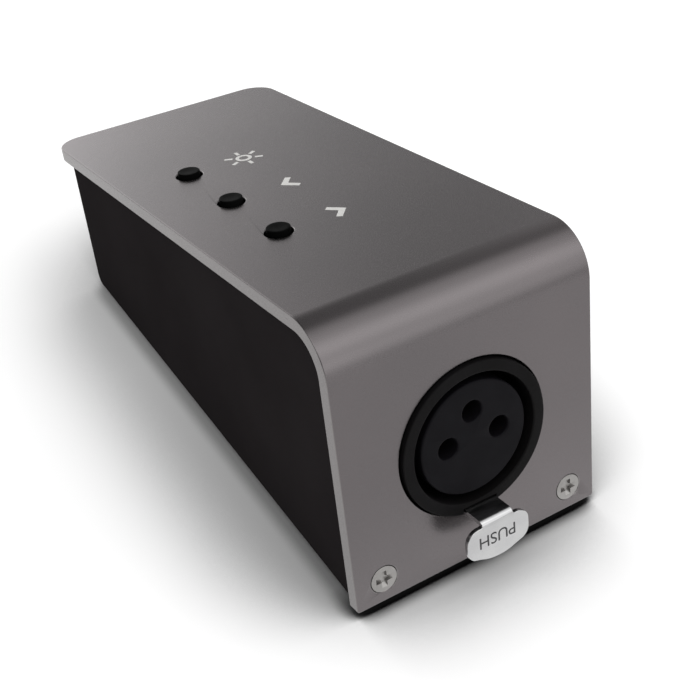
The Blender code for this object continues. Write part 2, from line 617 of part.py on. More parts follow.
def socket_housing():
    """The socket's body and ring, bored for the plug's shell and slotted for the latch below."""
    low = (-SOCKET_HALF, TRAY_FRONT, SOCKET_LOW)
    high = (SOCKET_HALF, SOCKET_REAR, SOCKET_TOP)
    housing = block("socket_housing", low, high, BLACK_PLASTIC)
    centre = (0, TRAY_FRONT + CUT_PAST, SOCKET_HEIGHT)
    ring_depth = centre[1] + SOCKET_PROUD
    join(housing, rod("ring", RING_RADIUS, ring_depth, BLACK_PLASTIC, centre, FRONTWARD, 64))
    deep = BORE_END + SOCKET_PROUD + CUT_PAST
    place = (0, BORE_END, SOCKET_HEIGHT)
    cut(housing, rod("bore", SOCKET_BORE_RADIUS, deep, BLACK_PLASTIC, place, FRONTWARD, 64))
    opening = INSERT_TAIL_RADIUS + SEAT_GAP
    place = (0, SOCKET_REAR + CUT_PAST, SOCKET_HEIGHT)
    deep = SOCKET_BACK + 2 * CUT_PAST
    cut(housing, rod("rear_opening", opening, deep, BLACK_PLASTIC, place, FRONTWARD, 48))

    mouth = -SOCKET_PROUD - CUT_PAST
    mouth_low = SOCKET_HEIGHT - RING_RADIUS - CUT_PAST
    mouth_end = TRAY_FRONT + RUN_GAP
    channel_top = LATCH_TOP + RUN_GAP
    channel_low = LATCH_UNDER - RUN_GAP
    channel_end = TAIL_REAR + LATCH_TRAVEL + RUN_GAP
    well_front = TAIL_REAR - LATCH_SHEET - RUN_GAP
    well_low = TAIL_LOW - RUN_GAP
    slot_front = TOOTH_FRONT - RUN_GAP
    slot_top = TOOTH_TOP + RUN_GAP
    outline = [
        (mouth, mouth_low),
        (mouth_end, mouth_low),
        (mouth_end, channel_low),
        (well_front, channel_low),
        (well_front, well_low),
        (channel_end, well_low),
        (channel_end, slot_top),
        (slot_front, slot_top),
        (slot_front, channel_top),
        (mouth, channel_top),
    ]
    wide = LATCH_WIDTH + 2 * RUN_GAP
    cut(housing, drawn("latch_way", outline, wide, BLACK_PLASTIC, turn=SIDEWAYS))
    pocket = SPRING_RADIUS + SPRING_WIRE_RADIUS + RUN_GAP
    place = (0, channel_end - CUT_PAST, SPRING_HEIGHT)
    long = TAIL_REAR + SPRING_LENGTH + 2 * SEAT_GAP - place[1]
    cut(housing, rod("spring_pocket", pocket, long, BLACK_PLASTIC, place, REARWARD, 20))

    half = PIN_WIDTH / 2 + SEAT_GAP
    low = (-half, GROUND_PIN_Y - half, SOCKET_HEIGHT + SOCKET_BORE_RADIUS - CUT_PAST)
    cut(housing, block("ground_slot", low, (half, GROUND_PIN_Y + half, BOARD_UNDER), BLACK_PLASTIC))


def socket_insert():
    """The core that the plug's shell fits round, and the carrier behind it, with its flange and tail. The
    three contact holes run through both."""
    front = SEAT_GAP - BORE_END + INSERT_FLANGE
    face = SOCKET_PROUD - INSERT_RECESS
    back = front + SEAT_GAP
    flange = SOCKET_BORE_RADIUS - SEAT_GAP
    tail = INSERT_TAIL_END - SOCKET_REAR
    core = [(0, face), (INSERT_RADIUS, face), (INSERT_RADIUS, back), (0, back)]
    carrier = [
        (0, front),
        (flange, front),
        (flange, front - INSERT_FLANGE),
        (INSERT_TAIL_RADIUS, front - INSERT_FLANGE),
        (INSERT_TAIL_RADIUS, tail),
        (0, tail),
    ]
    for name, profile in (("socket_insert", core), ("contact_carrier", carrier)):
        insert = turned(name, profile, BLACK_PLASTIC, (0, 0, SOCKET_HEIGHT), FRONTWARD, 36)
        for k, (x, z) in enumerate(contact_places()):
            place = (x, SOCKET_REAR + CUT_PAST, z)
            long = SOCKET_REAR + SOCKET_PROUD + 2 * CUT_PAST
            hole = rod(f"{name}_hole_{k}", CONTACT_HOLE_RADIUS, long, BLACK_PLASTIC, place, FRONTWARD, 14)
            cut(insert, hole)


def socket_contacts():
    """Three sleeve contacts in the insert, each with a pin that runs up through the board."""
    outer = CONTACT_HOLE_RADIUS - SEAT_GAP
    inner = outer - CONTACT_WALL
    front = -CONTACT_RECESS
    end = INSERT_TAIL_END / 2 - SOCKET_REAR
    for k, ((x, z), (_, pin_y)) in enumerate(zip(contact_places(), pin_places())):
        profile = [
            (inner, front),
            (outer, front),
            (outer, end),
            (0, end),
            (0, front - CONTACT_BORE),
            (inner, front - CONTACT_BORE),
            (inner, front),
        ]
        contact = turned(f"socket_contact_{k + 1}", profile, GOLD, (x, 0, z), FRONTWARD, 14)
        half = PIN_WIDTH / 2
        low = (x - half, -end - PIN_WIDTH, z - half)
        join(contact, block(f"contact_link_{k + 1}", low, (x + half, pin_y + half, z + half), GOLD))
        low = (x - half, pin_y - half, z)
        high = (x + half, pin_y + half, BOARD_TOP + PIN_PROUD)
        join(contact, block(f"contact_pin_{k + 1}", low, high, GOLD))


def ground_contact():
    """The sprung strip that lies in the top of the bore and touches the plug's shell."""
    half = PIN_WIDTH / 2
    crown = math.sqrt(SOCKET_BORE_RADIUS**2 - GROUND_WIDTH**2 / 4)
    top = SOCKET_HEIGHT + crown - SEAT_GAP
    rear = GROUND_PIN_Y + half
    low = (-GROUND_WIDTH / 2, rear - GROUND_LENGTH, top - GROUND_STRIP)
    strip = block("ground_contact", low, (GROUND_WIDTH / 2, rear + GROUND_STRIP, top), BRASS)
    low = (-half, GROUND_PIN_Y - half, top - GROUND_STRIP / 2)
    join(strip, block("ground_pin", low, (half, rear, BOARD_TOP + PIN_PROUD), BRASS))


def latch():
    """The push latch: a hanging tab, an arm through the ring's slot, a locking tooth, and a tail."""
    shoulder = LATCH_TOP - TAB_DROP
    tab_rear = TAB_FACE + LATCH_SHEET
    bend = TAB_DROP
    centre = (TAB_FACE + bend, LATCH_TOP - bend)
    tail_front = TAIL_REAR - LATCH_SHEET
    profile = (
        [(TAB_FACE, shoulder - bend), (tab_rear, shoulder - bend)]
        + arc(centre, bend - LATCH_SHEET, 180, 90, 2)
        + [(tail_front, LATCH_UNDER), (tail_front, TAIL_LOW)]
        + [(TAIL_REAR, TAIL_LOW), (TAIL_REAR, TOOTH_TOP)]
        + [(tail_front, TOOTH_TOP), (TOOTH_FRONT, LATCH_TOP)]
        + arc(centre, bend, 90, 180, 8)
    )
    piece = drawn("latch", profile, LATCH_WIDTH, BRIGHT_STEEL, turn=SIDEWAYS)
    low_edge = shoulder - TAB_HEIGHT
    bulge = TAB_BULGE
    half_low = TAB_WIDTH / 2 - TAB_CORNER
    swell_radius = (half_low**2 + bulge**2) / (2 * bulge)
    swell = math.degrees(math.asin(half_low / swell_radius))
    outline = (
        arc((0, low_edge - bulge + swell_radius), swell_radius, 270 - swell, 270 + swell, 8)
        + arc((half_low, low_edge + TAB_CORNER), TAB_CORNER, -90 + swell, 0, 5)
        + arc((half_low, shoulder - TAB_CORNER), TAB_CORNER, 0, 90, 5)
        + arc((-half_low, shoulder - TAB_CORNER), TAB_CORNER, 90, 180, 5)
        + arc((-half_low, low_edge + TAB_CORNER), TAB_CORNER, 180, 270 - swell, 5)
    )
    place = (0, TAB_FACE + LATCH_SHEET / 2, 0)
    join(piece, drawn("latch_tab", outline, LATCH_SHEET, BRIGHT_STEEL, place, FRONTWARD))


def latch_spring():
    """The coil spring in the housing's pocket, behind the latch's tail."""
    curve = bpy.data.curves.new("latch_spring", "CURVE")
    curve.dimensions = "3D"
    curve.bevel_depth = SPRING_WIRE_RADIUS
    curve.bevel_resolution = 2
    curve.use_fill_caps = True
    line = curve.splines.new("POLY")
    steps = 10 * SPRING_TURNS
    line.points.add(steps)
    start = SPRING_WIRE_RADIUS
    climb = (SPRING_LENGTH - 2 * SPRING_WIRE_RADIUS) / steps
    for i, spot in enumerate(line.points):
        turn = math.tau * i / 10
        right, up = SPRING_RADIUS * math.cos(turn), SPRING_RADIUS * math.sin(turn)
        spot.co = (right, up, start + climb * i, 1)
    place = (0, TAIL_REAR + SEAT_GAP, SPRING_HEIGHT)
    as_mesh("latch_spring", curve, BRIGHT_STEEL, place, REARWARD)


def usb_outline(inset):
    """The square socket's shell seen from behind: a box with its two lower corners cut off."""
    half = USB_WIDTH / 2 - inset
    top, low = USB_TOP - inset, USB_LOW + inset
    cut_off = USB_CHAMFER - inset * (2 - math.sqrt(2))
    return [
        (-half, top),
        (-half, low + cut_off),
        (cut_off - half, low),
        (half - cut_off, low),
        (half, low + cut_off),
        (half, top),
    ]


def usb_socket():
    """The steel shell, the block and tongue inside it, and its four contacts."""
    middle = USB_FACE - USB_DEPTH / 2
    place = (0, middle, 0)
    shell = drawn("usb_shell", usb_outline(0), USB_DEPTH, BRIGHT_STEEL, place, FRONTWARD)
    hollow = USB_DEPTH + 2 * CUT_PAST
    cut(shell, drawn("usb_hollow", usb_outline(USB_SHEET), hollow, BRIGHT_STEEL, place, FRONTWARD))

    back = USB_FACE - USB_DEPTH
    block_face = back + USB_BLOCK_DEPTH
    place = (0, (back + block_face) / 2, 0)
    outline = usb_outline(USB_SHEET + SEAT_GAP)
    core = drawn("usb_insulator", outline, USB_BLOCK_DEPTH, PALE_PLASTIC, place, FRONTWARD)
    tongue_end = USB_FACE - TONGUE_RECESS
    low = (-TONGUE_WIDTH / 2, block_face - CUT_PAST, USB_MIDDLE - TONGUE_HEIGHT / 2)
    high = (TONGUE_WIDTH / 2, tongue_end, USB_MIDDLE + TONGUE_HEIGHT / 2)
    join(core, block("usb_tongue", low, high, PALE_PLASTIC))

    slot = SEAT_GAP / 2
    half = USB_CONTACT_WIDTH / 2
    for number, (x, post_y, z) in enumerate(usb_contacts(), 1):
        thin = USB_CONTACT_SHEET / 2
        pin_top = BOARD_TOP + PIN_PROUD
        strip_end = tongue_end - slot
        profile = [
            (post_y - thin, z - thin),
            (strip_end, z - thin),
            (strip_end, z + thin),
            (post_y + thin, z + thin),
            (post_y + thin, pin_top),
            (post_y - thin, pin_top),
        ]
        wide = USB_CONTACT_WIDTH
        drawn(f"usb_contact_{number}", profile, wide, GOLD, (x, 0, 0), SIDEWAYS)
        low = (x - half - slot, back - CUT_PAST, z - thin - slot)
        high = (x + half + slot, block_face + CUT_PAST, z + thin + slot)
        cut(core, block(f"usb_slot_{number}", low, high, PALE_PLASTIC))


def usb_contacts():
    """The X and height of each contact's strip along the tongue, and the Y of its post up to the board.
    The two above the tongue come first, and the posts of the two below it pass up in front of theirs."""
    sides = (-USB_CONTACT_PITCH / 2, USB_CONTACT_PITCH / 2)
    lift = TONGUE_HEIGHT / 2 + SEAT_GAP / 2 + USB_CONTACT_SHEET / 2
    post_y = USB_FACE - USB_DEPTH - SEAT_GAP - USB_CONTACT_SHEET / 2
    above = [(x, post_y, USB_MIDDLE + lift) for x in sides]
    return above + [(x, post_y - USB_POST_PITCH, USB_MIDDLE - lift) for x in sides]


def chip(name, y, size, legs):
    """A flat package on the board's top, over bars whose ends are its two rows of legs."""
    width, length, height = size
    floor = BOARD_TOP + SEAT_GAP
    half = width / 2
    low = (CHIP_X - half, y - length / 2, floor + CHIP_SHEET / 2)
    package = block(name, low, (CHIP_X + half, y + length / 2, floor + height), BLACK_PLASTIC)
    bars = bmesh.new()
    for i in range(legs // 2):
        spot = (i - (legs // 2 - 1) / 2) * CHIP_PITCH
        made = bmesh.ops.create_cube(bars, size=1.0)["verts"]
        bmesh.ops.scale(bars, vec=(width + 2 * CHIP_LEG, CHIP_LEG_WIDTH, CHIP_SHEET), verts=made)
        bmesh.ops.translate(bars, vec=(0, spot, 0), verts=made)
    name += "_legs"
    place = (CHIP_X, y, floor + CHIP_SHEET / 2)
    join(package, add_piece(name, mesh_of(bars, name), BRIGHT_STEEL, place))


def electronics():
    """The parts soldered to the board: a line driver, a microcontroller and its crystal beside the three
    buttons, and below them a reservoir capacitor and an isolating converter."""
    chip("line_driver", button_y(0), DRIVER_SIZE, DRIVER_LEGS)
    chip("microcontroller", button_y(1), MICRO_SIZE, MICRO_LEGS)
    radius = CRYSTAL_WIDTH / 2
    straight = CRYSTAL_LENGTH / 2 - radius
    can = arc((straight, 0), radius, -90, 90, 8) + arc((-straight, 0), radius, 90, 270, 8)
    place = (CHIP_X, button_y(2), BOARD_TOP + SEAT_GAP + CRYSTAL_HEIGHT / 2)
    drawn("crystal", can, CRYSTAL_HEIGHT, BRIGHT_STEEL, place)
    ceiling = BOARD_UNDER - SEAT_GAP
    place = (CHIP_X, button_y(0), ceiling)
    rod("capacitor", CAPACITOR_RADIUS, CAPACITOR_HEIGHT, BRIGHT_STEEL, place, DOWNWARD, 24)
    width, length, height = CONVERTER_SIZE
    y = button_y(1)
    low = (-width / 2, y - length / 2, ceiling - height)
    block("isolating_converter", low, (width / 2, y + length / 2, ceiling), BLACK_PLASTIC)


top_cover()
base_tray()
front_fixings()
rear_clip()
feet()
main_board()
board_supports()
buttons()
socket_housing()
socket_insert()
socket_contacts()
ground_contact()
latch()
latch_spring()
usb_socket()
electronics()
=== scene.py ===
"""The looks of a small USB to DMX lighting interface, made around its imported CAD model.

The case stands tipped: its top plate slopes down to the rear. Most pieces are worked out in the case's own
axes (X across, Y from the front face back along the top plate, Z square to that plate) and then placed.
"""

import json
import math

import bmesh
import bpy
import numpy as np
from mathutils import Matrix, Vector


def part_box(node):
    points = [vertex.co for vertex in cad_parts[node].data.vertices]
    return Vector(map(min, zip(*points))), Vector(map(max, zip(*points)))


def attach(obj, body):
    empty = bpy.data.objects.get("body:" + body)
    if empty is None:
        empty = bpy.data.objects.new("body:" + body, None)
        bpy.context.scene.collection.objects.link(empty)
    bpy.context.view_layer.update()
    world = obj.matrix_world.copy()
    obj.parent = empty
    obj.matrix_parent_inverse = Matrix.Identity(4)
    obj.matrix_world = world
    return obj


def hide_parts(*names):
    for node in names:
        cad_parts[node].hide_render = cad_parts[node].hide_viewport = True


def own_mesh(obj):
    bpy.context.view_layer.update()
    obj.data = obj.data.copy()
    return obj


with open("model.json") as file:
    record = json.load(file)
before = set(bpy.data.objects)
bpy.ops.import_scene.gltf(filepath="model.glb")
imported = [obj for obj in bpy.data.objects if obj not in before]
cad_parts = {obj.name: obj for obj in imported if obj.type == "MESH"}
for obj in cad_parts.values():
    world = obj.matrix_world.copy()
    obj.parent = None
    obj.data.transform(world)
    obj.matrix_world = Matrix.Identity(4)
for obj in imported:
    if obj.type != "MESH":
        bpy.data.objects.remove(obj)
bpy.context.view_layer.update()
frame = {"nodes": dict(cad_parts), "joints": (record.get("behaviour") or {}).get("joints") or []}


# Camera: a short telephoto lens, above the object's left front corner and looking down on it, as in the
# photograph, whose picture is square.
LENS = 63.44
CAMERA_PLACE = (-0.07434, -0.12805, 0.12937)
CAMERA_TURN = (49.856, -0.279, -32.393)  # degrees about X, Y and Z


def put_up(name, data):
    """Makes an object of a camera, mesh or curve, and sets it in the scene."""
    thing = bpy.data.objects.new(name, data)
    bpy.context.scene.collection.objects.link(thing)
    return thing


eye = bpy.data.cameras.new("camera")
eye.lens = LENS
eye.clip_start = 0.01
camera = put_up("camera", eye)
camera.location = CAMERA_PLACE
camera.rotation_euler = [math.radians(turn) for turn in CAMERA_TURN]
bpy.context.scene.camera = camera


# Studio: a white floor under a dim even sky that has soft boxes in it. Those high at the sides light the
# object, and those low at the back and in front give the satin metal its slow gradients. Near the case the
# paper is darkened, for a shadow as firm as the photograph's.
SKY_SHADE = 0.15
SOFT_BOXES = (  # degrees round from the rear towards the right, degrees up, degrees to its rim, strength
    (240, 60, 36, 1.58), (120, 60, 36, 0.97), (180, 60, 36, 0.16), (140, 35, 36, 0.70), (180, 35, 36, 0.43),
    (60, 35, 36, 0.20), (0, 10, 20, 1.30), (0, 10, 36, 1.02), (60, 10, 36, 0.45), (135, 10, 36, 0.45),
    (180, 10, 36, 0.92),
)
BOX_HEART = 1 / 6  # how far out from its middle a soft box keeps its full strength
FLOOR_SIZE = 3.0
FLOOR_SHADE, FLOOR_ROUGH = 0.93, 0.9
FLOOR_SHADOWS = (  # reach, sky seen at its darkest and at its edge, depth, share left further back, how far
    (0.026, 0.62, 0.97, 0.38, 0.75, 0.060),
    (0.004, 0.58, 0.84, 1.00, 0.50, 0.006),
    (0.008, 0.36, 0.66, 0.70, 0.00, 0.004),
)
SHADOW_SAMPLES = 24
FLOOR_LIFT = 0.36  # white that the eye, mirrors and glass see on open paper, besides the light falling on it
MIRROR_LEAST = 0.4  # the share of it that mirrors still see some way in front of the case
MIRROR_NEAR, MIRROR_FAR = 0.006, 0.032  # how far in front of the case that fall starts and ends


def wire(tree, kind, inputs, **settings):
    """Adds one shader node. An input that is another node's output is linked, and any other is set."""
    made = tree.nodes.new("ShaderNode" + kind)
    for name, value in settings.items():
        setattr(made, name, value)
    for name, value in inputs.items():
        if isinstance(value, bpy.types.NodeSocket):
            tree.links.new(value, made.inputs[name])
        else:
            made.inputs[name].default_value = value
    return made


def seen_by(tree, *rays):
    """One for the rays of the kinds named, and nothing for all others."""
    path = wire(tree, "LightPath", {})
    seen = path.outputs[rays[0]]
    for ray in rays[1:]:
        seen = wire(tree, "Math", {0: seen, 1: path.outputs[ray]}, operation="MAXIMUM").outputs[0]
    return seen


world = bpy.data.worlds.new("studio")
world.use_nodes = True
sky = world.node_tree
direction = wire(sky, "TexCoord", {}).outputs["Generated"]
level = SKY_SHADE
for round_from_rear, up, rim, strength in SOFT_BOXES:
    turn, rise = math.radians(round_from_rear), math.radians(up)
    aim = (math.sin(turn) * math.cos(rise), math.cos(turn) * math.cos(rise), math.sin(rise))
    facing = wire(sky, "VectorMath", {0: direction, 1: aim}, operation="DOT_PRODUCT").outputs["Value"]
    box = wire(sky, "MapRange", {
        "Value": facing, "From Min": math.cos(math.radians(rim)),
        "From Max": math.cos(math.radians(rim * BOX_HEART)), "To Max": strength,
    }, interpolation_type="SMOOTHSTEP")
    level = wire(sky, "Math", {0: box.outputs[0], 1: level}, operation="ADD").outputs[0]
seen = seen_by(sky, "Is Camera Ray", "Is Transmission Ray")
glow = wire(sky, "Mix", {0: seen, 2: level, 3: 1.0}, data_type="FLOAT")
sky.links.new(glow.outputs[0], sky.nodes["Background"].inputs["Strength"])
sky.nodes["Background"].inputs["Color"].default_value = (1.0, 1.0, 1.0, 1.0)
bpy.context.scene.world = world
bpy.context.scene.view_settings.view_transform = "Standard"

ground = bmesh.new()
bmesh.ops.create_grid(ground, x_segments=1, y_segments=1, size=FLOOR_SIZE / 2)
floor_mesh = bpy.data.meshes.new("floor")
ground.to_mesh(floor_mesh)
ground.free()
floor = put_up("floor", floor_mesh)
paper = bpy.data.materials.new("white_paper")
paper.use_nodes = True
leaves = paper.node_tree
sheet_shader = leaves.nodes["Principled BSDF"]
sheet_shader.inputs["Roughness"].default_value = FLOOR_ROUGH
sheet_shader.inputs["Specular IOR Level"].default_value = 0.0
sheet_shader.inputs["Emission Color"].default_value = (1.0, 1.0, 1.0, 1.0)
# Each shadow darkens the paper by its depth and takes its lift away, less so behind the case's nose. Mirrors
# see no such shadow, but less lift ahead of the case.
shade, clear = 1.0, 1.0
back = wire(leaves, "SeparateXYZ", {0: wire(leaves, "TexCoord", {}).outputs["Object"]}).outputs["Y"]
cover_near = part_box("top_cover")[0]
nose = cover_near.y
for reach, darkest, edge, depth, behind, way_back in FLOOR_SHADOWS:
    share = wire(leaves, "MapRange", {"Value": back, "From Min": nose, "To Min": 1.0,
                                      "From Max": nose + way_back, "To Max": behind}).outputs[0]
    dimmed = wire(leaves, "Math", {0: share, 1: -depth, 2: 1.0}, operation="MULTIPLY_ADD").outputs[0]
    dulled = wire(leaves, "Math", {0: share, 1: -1.0, 2: 1.0}, operation="MULTIPLY_ADD").outputs[0]
    sky_seen = wire(leaves, "AmbientOcclusion", {"Distance": reach}, samples=SHADOW_SAMPLES).outputs["AO"]
    free = {"Value": sky_seen, "From Min": darkest, "From Max": edge}
    dim = wire(leaves, "MapRange", {**free, "To Min": dimmed}).outputs[0]
    shade = wire(leaves, "Math", {0: dim, 1: shade}, operation="MULTIPLY").outputs[0]
    bare = wire(leaves, "MapRange", {**free, "To Min": dulled}, interpolation_type="SMOOTHSTEP").outputs[0]
    clear = wire(leaves, "Math", {0: bare, 1: clear}, operation="MULTIPLY").outputs[0]
mirrored = seen_by(leaves, "Is Glossy Ray")
shade = wire(leaves, "Math", {0: shade, 1: mirrored}, operation="MAXIMUM").outputs[0]
shade = wire(leaves, "Math", {0: shade, 1: FLOOR_SHADE}, operation="MULTIPLY").outputs[0]
leaves.links.new(shade, sheet_shader.inputs["Base Color"])
ahead = wire(leaves, "MapRange", {"Value": back, "From Min": nose - MIRROR_FAR, "To Min": MIRROR_LEAST,
                                  "From Max": nose - MIRROR_NEAR, "To Max": 1.0}).outputs[0]
clear = wire(leaves, "Mix", {0: mirrored, 2: clear, 3: ahead}, data_type="FLOAT").outputs[0]
seen = seen_by(leaves, "Is Camera Ray", "Is Glossy Ray", "Is Transmission Ray")
white = wire(leaves, "Math", {0: seen, 1: FLOOR_LIFT}, operation="MULTIPLY").outputs[0]
lift = wire(leaves, "Math", {0: white, 1: clear}, operation="MULTIPLY").outputs[0]
leaves.links.new(lift, sheet_shader.inputs["Emission Strength"])
floor_mesh.materials.append(paper)


# Top cover: one 2 mm aluminium plate, bent down at the front, with its rear corners rounded, its edges broken
# and its holes punched. It is bead blasted and anodised grey. Two countersunk screws hold it at the front.
COVER_SHEET = 0.0020
COVER_BEND = 0.0068
COVER_CORNER = 0.0043
COVER_FOOT_CORNER = 0.0004
COVER_RIM = 0.00016
RING_HOLE = 0.01135
RING_HEIGHT = 0.0187
BUTTON_HOLE = 0.00205
SINK_RADIUS = 0.00205
SINK_HOLE = 0.0012
SINK_RELIEF = 0.0001
FRONT_SCREW_HEIGHT = 0.00345
TOUCHING = 1e-6  # points that are closer together than this are one
CUT_PAST = 0.001  # how far a cutting shape stands out past what it cuts
COVER_SHADES = ((109, 105, 106), (115, 110, 111))
EDGE_HIGHLIGHT_SHADES = ((121, 118, 118), (127, 123, 123))  # painted highlight: the plate's colour, lighter, for its cut sides
HIGHLIGHT_EDGE_FACING = 0.35  # from this share of sideways slant on, a face counts as a cut side and gets the painted highlight
NOISE_LOW, NOISE_HIGH = 0.3, 0.7  # where nearly all values of a noise lie

latch_joint = next(j for j in frame["joints"] if j["name"] == "latch_push")
slide = Vector(latch_joint["axis"])
WEDGE = math.atan2(-slide.z, slide.y)
CASE = Matrix.Translation((0, cover_near.y, cover_near.z + COVER_SHEET * math.sin(WEDGE)))
CASE = CASE @ Matrix.Rotation(-WEDGE, 4, "X")


def measured(node):
    """A CAD node's lowest and highest corner in the case's axes."""
    mesh = frame["nodes"][node].data
    points = np.empty(3 * len(mesh.vertices))
    mesh.vertices.foreach_get("co", points)
    back = np.array(CASE.inverted())
    points = points.reshape(-1, 3) @ back[:3, :3].T + back[:3, 3]
    return Vector(points.min(axis=0)), Vector(points.max(axis=0))


def arc(centre, radius, start, end, steps):
    """Points on a circle from one angle to another in degrees: the centre plus the radius times the cosine
    and sine of evenly spaced angles."""
    angle = np.radians(np.linspace(start, end, steps + 1))
    return np.stack([centre[0] + radius * np.cos(angle), centre[1] + radius * np.sin(angle)], axis=1)


def circle(centre, radius, points):
    """A whole circle as evenly spaced points, the first of them at the right."""
    return arc(centre, radius, 0, 360 - 360 / points, points - 1)


def rounded(low, high, radii, steps=8):
    """A rectangle's outline, run round from its lower left corner, with its own radius at each corner."""
    (left, bottom), (right, top) = low, high
    a, b, c, d = radii
    return np.concatenate([
        arc((left + a, bottom + a), a, 180, 270, steps),
        arc((right - b, bottom + b), b, 270, 360, steps),
        arc((right - c, top - c), c, 0, 90, steps),
        arc((left + d, top - d), d, 90, 180, steps),
    ])


def merged(mesh):
    """Welds points that coincide and turns every face outwards."""
    shape = bmesh.new()
    shape.from_mesh(mesh)
    bmesh.ops.remove_doubles(shape, verts=shape.verts, dist=TOUCHING)
    bmesh.ops.recalc_face_normals(shape, faces=shape.faces)
    shape.to_mesh(mesh)
    shape.free()
    return mesh


def finished(drawing):
    """The mesh that an object comes out as. The object is taken down again."""
    mesh = bpy.data.meshes.new_from_object(drawing.evaluated_get(bpy.context.evaluated_depsgraph_get()))
    bpy.data.objects.remove(drawing)
    return mesh


def cut_out(outlines, sheet, rim, rim_steps=2):
    """A flat blank: the first outline less the others, with its face in the XY plane and its thickness below
    it. All its edges are broken by a small round rim."""
    curve = bpy.data.curves.new("blank", "CURVE")
    curve.dimensions = "2D"
    curve.fill_mode = "BOTH"
    curve.extrude = sheet / 2 - rim
    curve.bevel_depth = rim
    curve.bevel_resolution = rim_steps
    curve.offset = -rim
    for outline in outlines:
        line = curve.splines.new("POLY")
        line.points.add(len(outline) - 1)
        corners = np.zeros((len(outline), 4))
        corners[:, :2] = outline
        corners[:, 3] = 1
        line.points.foreach_set("co", corners.ravel())
        line.use_cyclic_u = True
    blank = finished(put_up("blank", curve))
    blank.transform(Matrix.Translation((0, 0, -sheet / 2)))
    return merged(blank)


def bent(blank, rise, bend, front=0.0, steps=24):
    """Bends a blank back by a quarter turn. With s the length along it, t the depth below its face and a the
    angle (s - rise) / bend, kept between 0 and a quarter turn, a point goes to
    y = front + bend - (bend + t) cos a + whatever s has past the bend, and z = rise + (bend + t) sin a +
    whatever s has short of it."""
    shape = bmesh.new()
    shape.from_mesh(blank)
    for k in range(steps + 1):
        fold = (0, rise + bend * math.pi / 2 * k / steps, 0)
        everything = shape.verts[:] + shape.edges[:] + shape.faces[:]
        bmesh.ops.bisect_plane(shape, geom=everything, plane_co=fold, plane_no=(0, 1, 0), dist=1e-7)
    shape.to_mesh(blank)
    shape.free()
    points = np.empty(3 * len(blank.vertices))
    blank.vertices.foreach_get("co", points)
    across, along, depth = points.reshape(-1, 3).T
    angle = np.clip((along - rise) / bend, 0, math.pi / 2)
    past = np.maximum(along - rise - bend * math.pi / 2, 0)
    back = front + bend - (bend + depth) * np.cos(angle) + past
    up = rise + (bend + depth) * np.sin(angle) + np.minimum(along - rise, 0)
    blank.vertices.foreach_set("co", np.stack([across, back, up], axis=1).ravel())
    return blank


def skinned(rings):
    """A closed skin over rings of equally many points. Each side face joins two neighbours of a ring to the
    same two of the next one, and a flat face closes each end."""
    rings = np.asarray(rings, dtype=float)
    count, around = rings.shape[:2]
    row, column = np.meshgrid(np.arange(count - 1), np.arange(around), indexing="ij")
    here, ahead = row * around + column, row * around + (column + 1) % around
    sides = np.stack([here, ahead, ahead + around, here + around], axis=-1).reshape(-1, 4)
    ends = [np.arange(around)[::-1].tolist(), (np.arange(around) + (count - 1) * around).tolist()]
    mesh = bpy.data.meshes.new("skin")
    mesh.from_pydata(rings.reshape(-1, 3), [], sides.tolist() + ends)
    return merged(mesh)


def turned(profile, sides):
    """Turns a profile, run down its outer side, about Z: the point (radius, height) at the angle a goes to
    (radius cos a, radius sin a, height)."""
    radius, height = np.array(profile, dtype=float).T
    angle = np.arange(sides) * math.tau / sides
    points = np.stack([np.outer(radius, np.cos(angle)), np.outer(radius, np.sin(angle)),
                       np.repeat(height[:, None], sides, axis=1)], axis=-1).reshape(-1, 3)
    row, column = np.meshgrid(np.arange(len(radius) - 1), np.arange(sides), indexing="ij")
    here, ahead = row * sides + column, row * sides + (column + 1) % sides
    faces = np.stack([here, here + sides, ahead + sides, ahead], axis=-1).reshape(-1, 4)
    mesh = bpy.data.meshes.new("turned")
    mesh.from_pydata(points, [], faces.tolist())
    return merged(mesh)


def placed(mesh, place, turn=(0, 0, 0)):
    """Turns a mesh by degrees about X, Y and Z in that order, and moves it to its place."""
    spin = Matrix.Rotation(math.radians(turn[2]), 4, "Z") @ Matrix.Rotation(math.radians(turn[1]), 4, "Y")
    mesh.transform(Matrix.Translation(place) @ spin @ Matrix.Rotation(math.radians(turn[0]), 4, "X"))
    return mesh


def together(*meshes):
    """One mesh that holds several."""
    shape = bmesh.new()
    for mesh in meshes:
        shape.from_mesh(mesh)
    whole = bpy.data.meshes.new("together")
    shape.to_mesh(whole)
    shape.free()
    return whole


def shaped(mesh, tool, operation="DIFFERENCE"):
    """Cuts one closed mesh with another, or joins it on."""
    work, blade = put_up("shaping", mesh), put_up("shaping", tool)
    step = work.modifiers.new("shape", "BOOLEAN")
    step.operation = operation
    step.object = blade
    made = finished(work)
    bpy.data.objects.remove(blade)
    return made


def show(name, mesh, look, body, slot, *nodes, sharp=35, place=CASE):
    """Shows a finished mesh as a piece of a body, in the place of its CAD nodes. Edges sharper than the given
    angle stay crisp, and large faces keep their own light."""
    mesh.transform(place)
    mesh.name = name
    mesh.materials.clear()
    mesh.materials.append(look)
    mesh.shade_smooth()
    mesh.set_sharp_from_angle(angle=math.radians(sharp))
    piece = put_up(name, mesh)
    weight = piece.modifiers.new("light", "WEIGHTED_NORMAL")
    weight.keep_sharp = True
    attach(piece, body)
    if nodes:
        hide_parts(*nodes)
    return piece


def tint(red, green, blue):
    """A shade from 0 to 255 as the linear colour of a socket: ((c / 255 + 0.055) / 1.055) to the 2.4."""
    return (*(((c / 255 + 0.055) / 1.055) ** 2.4 for c in (red, green, blue)), 1.0)


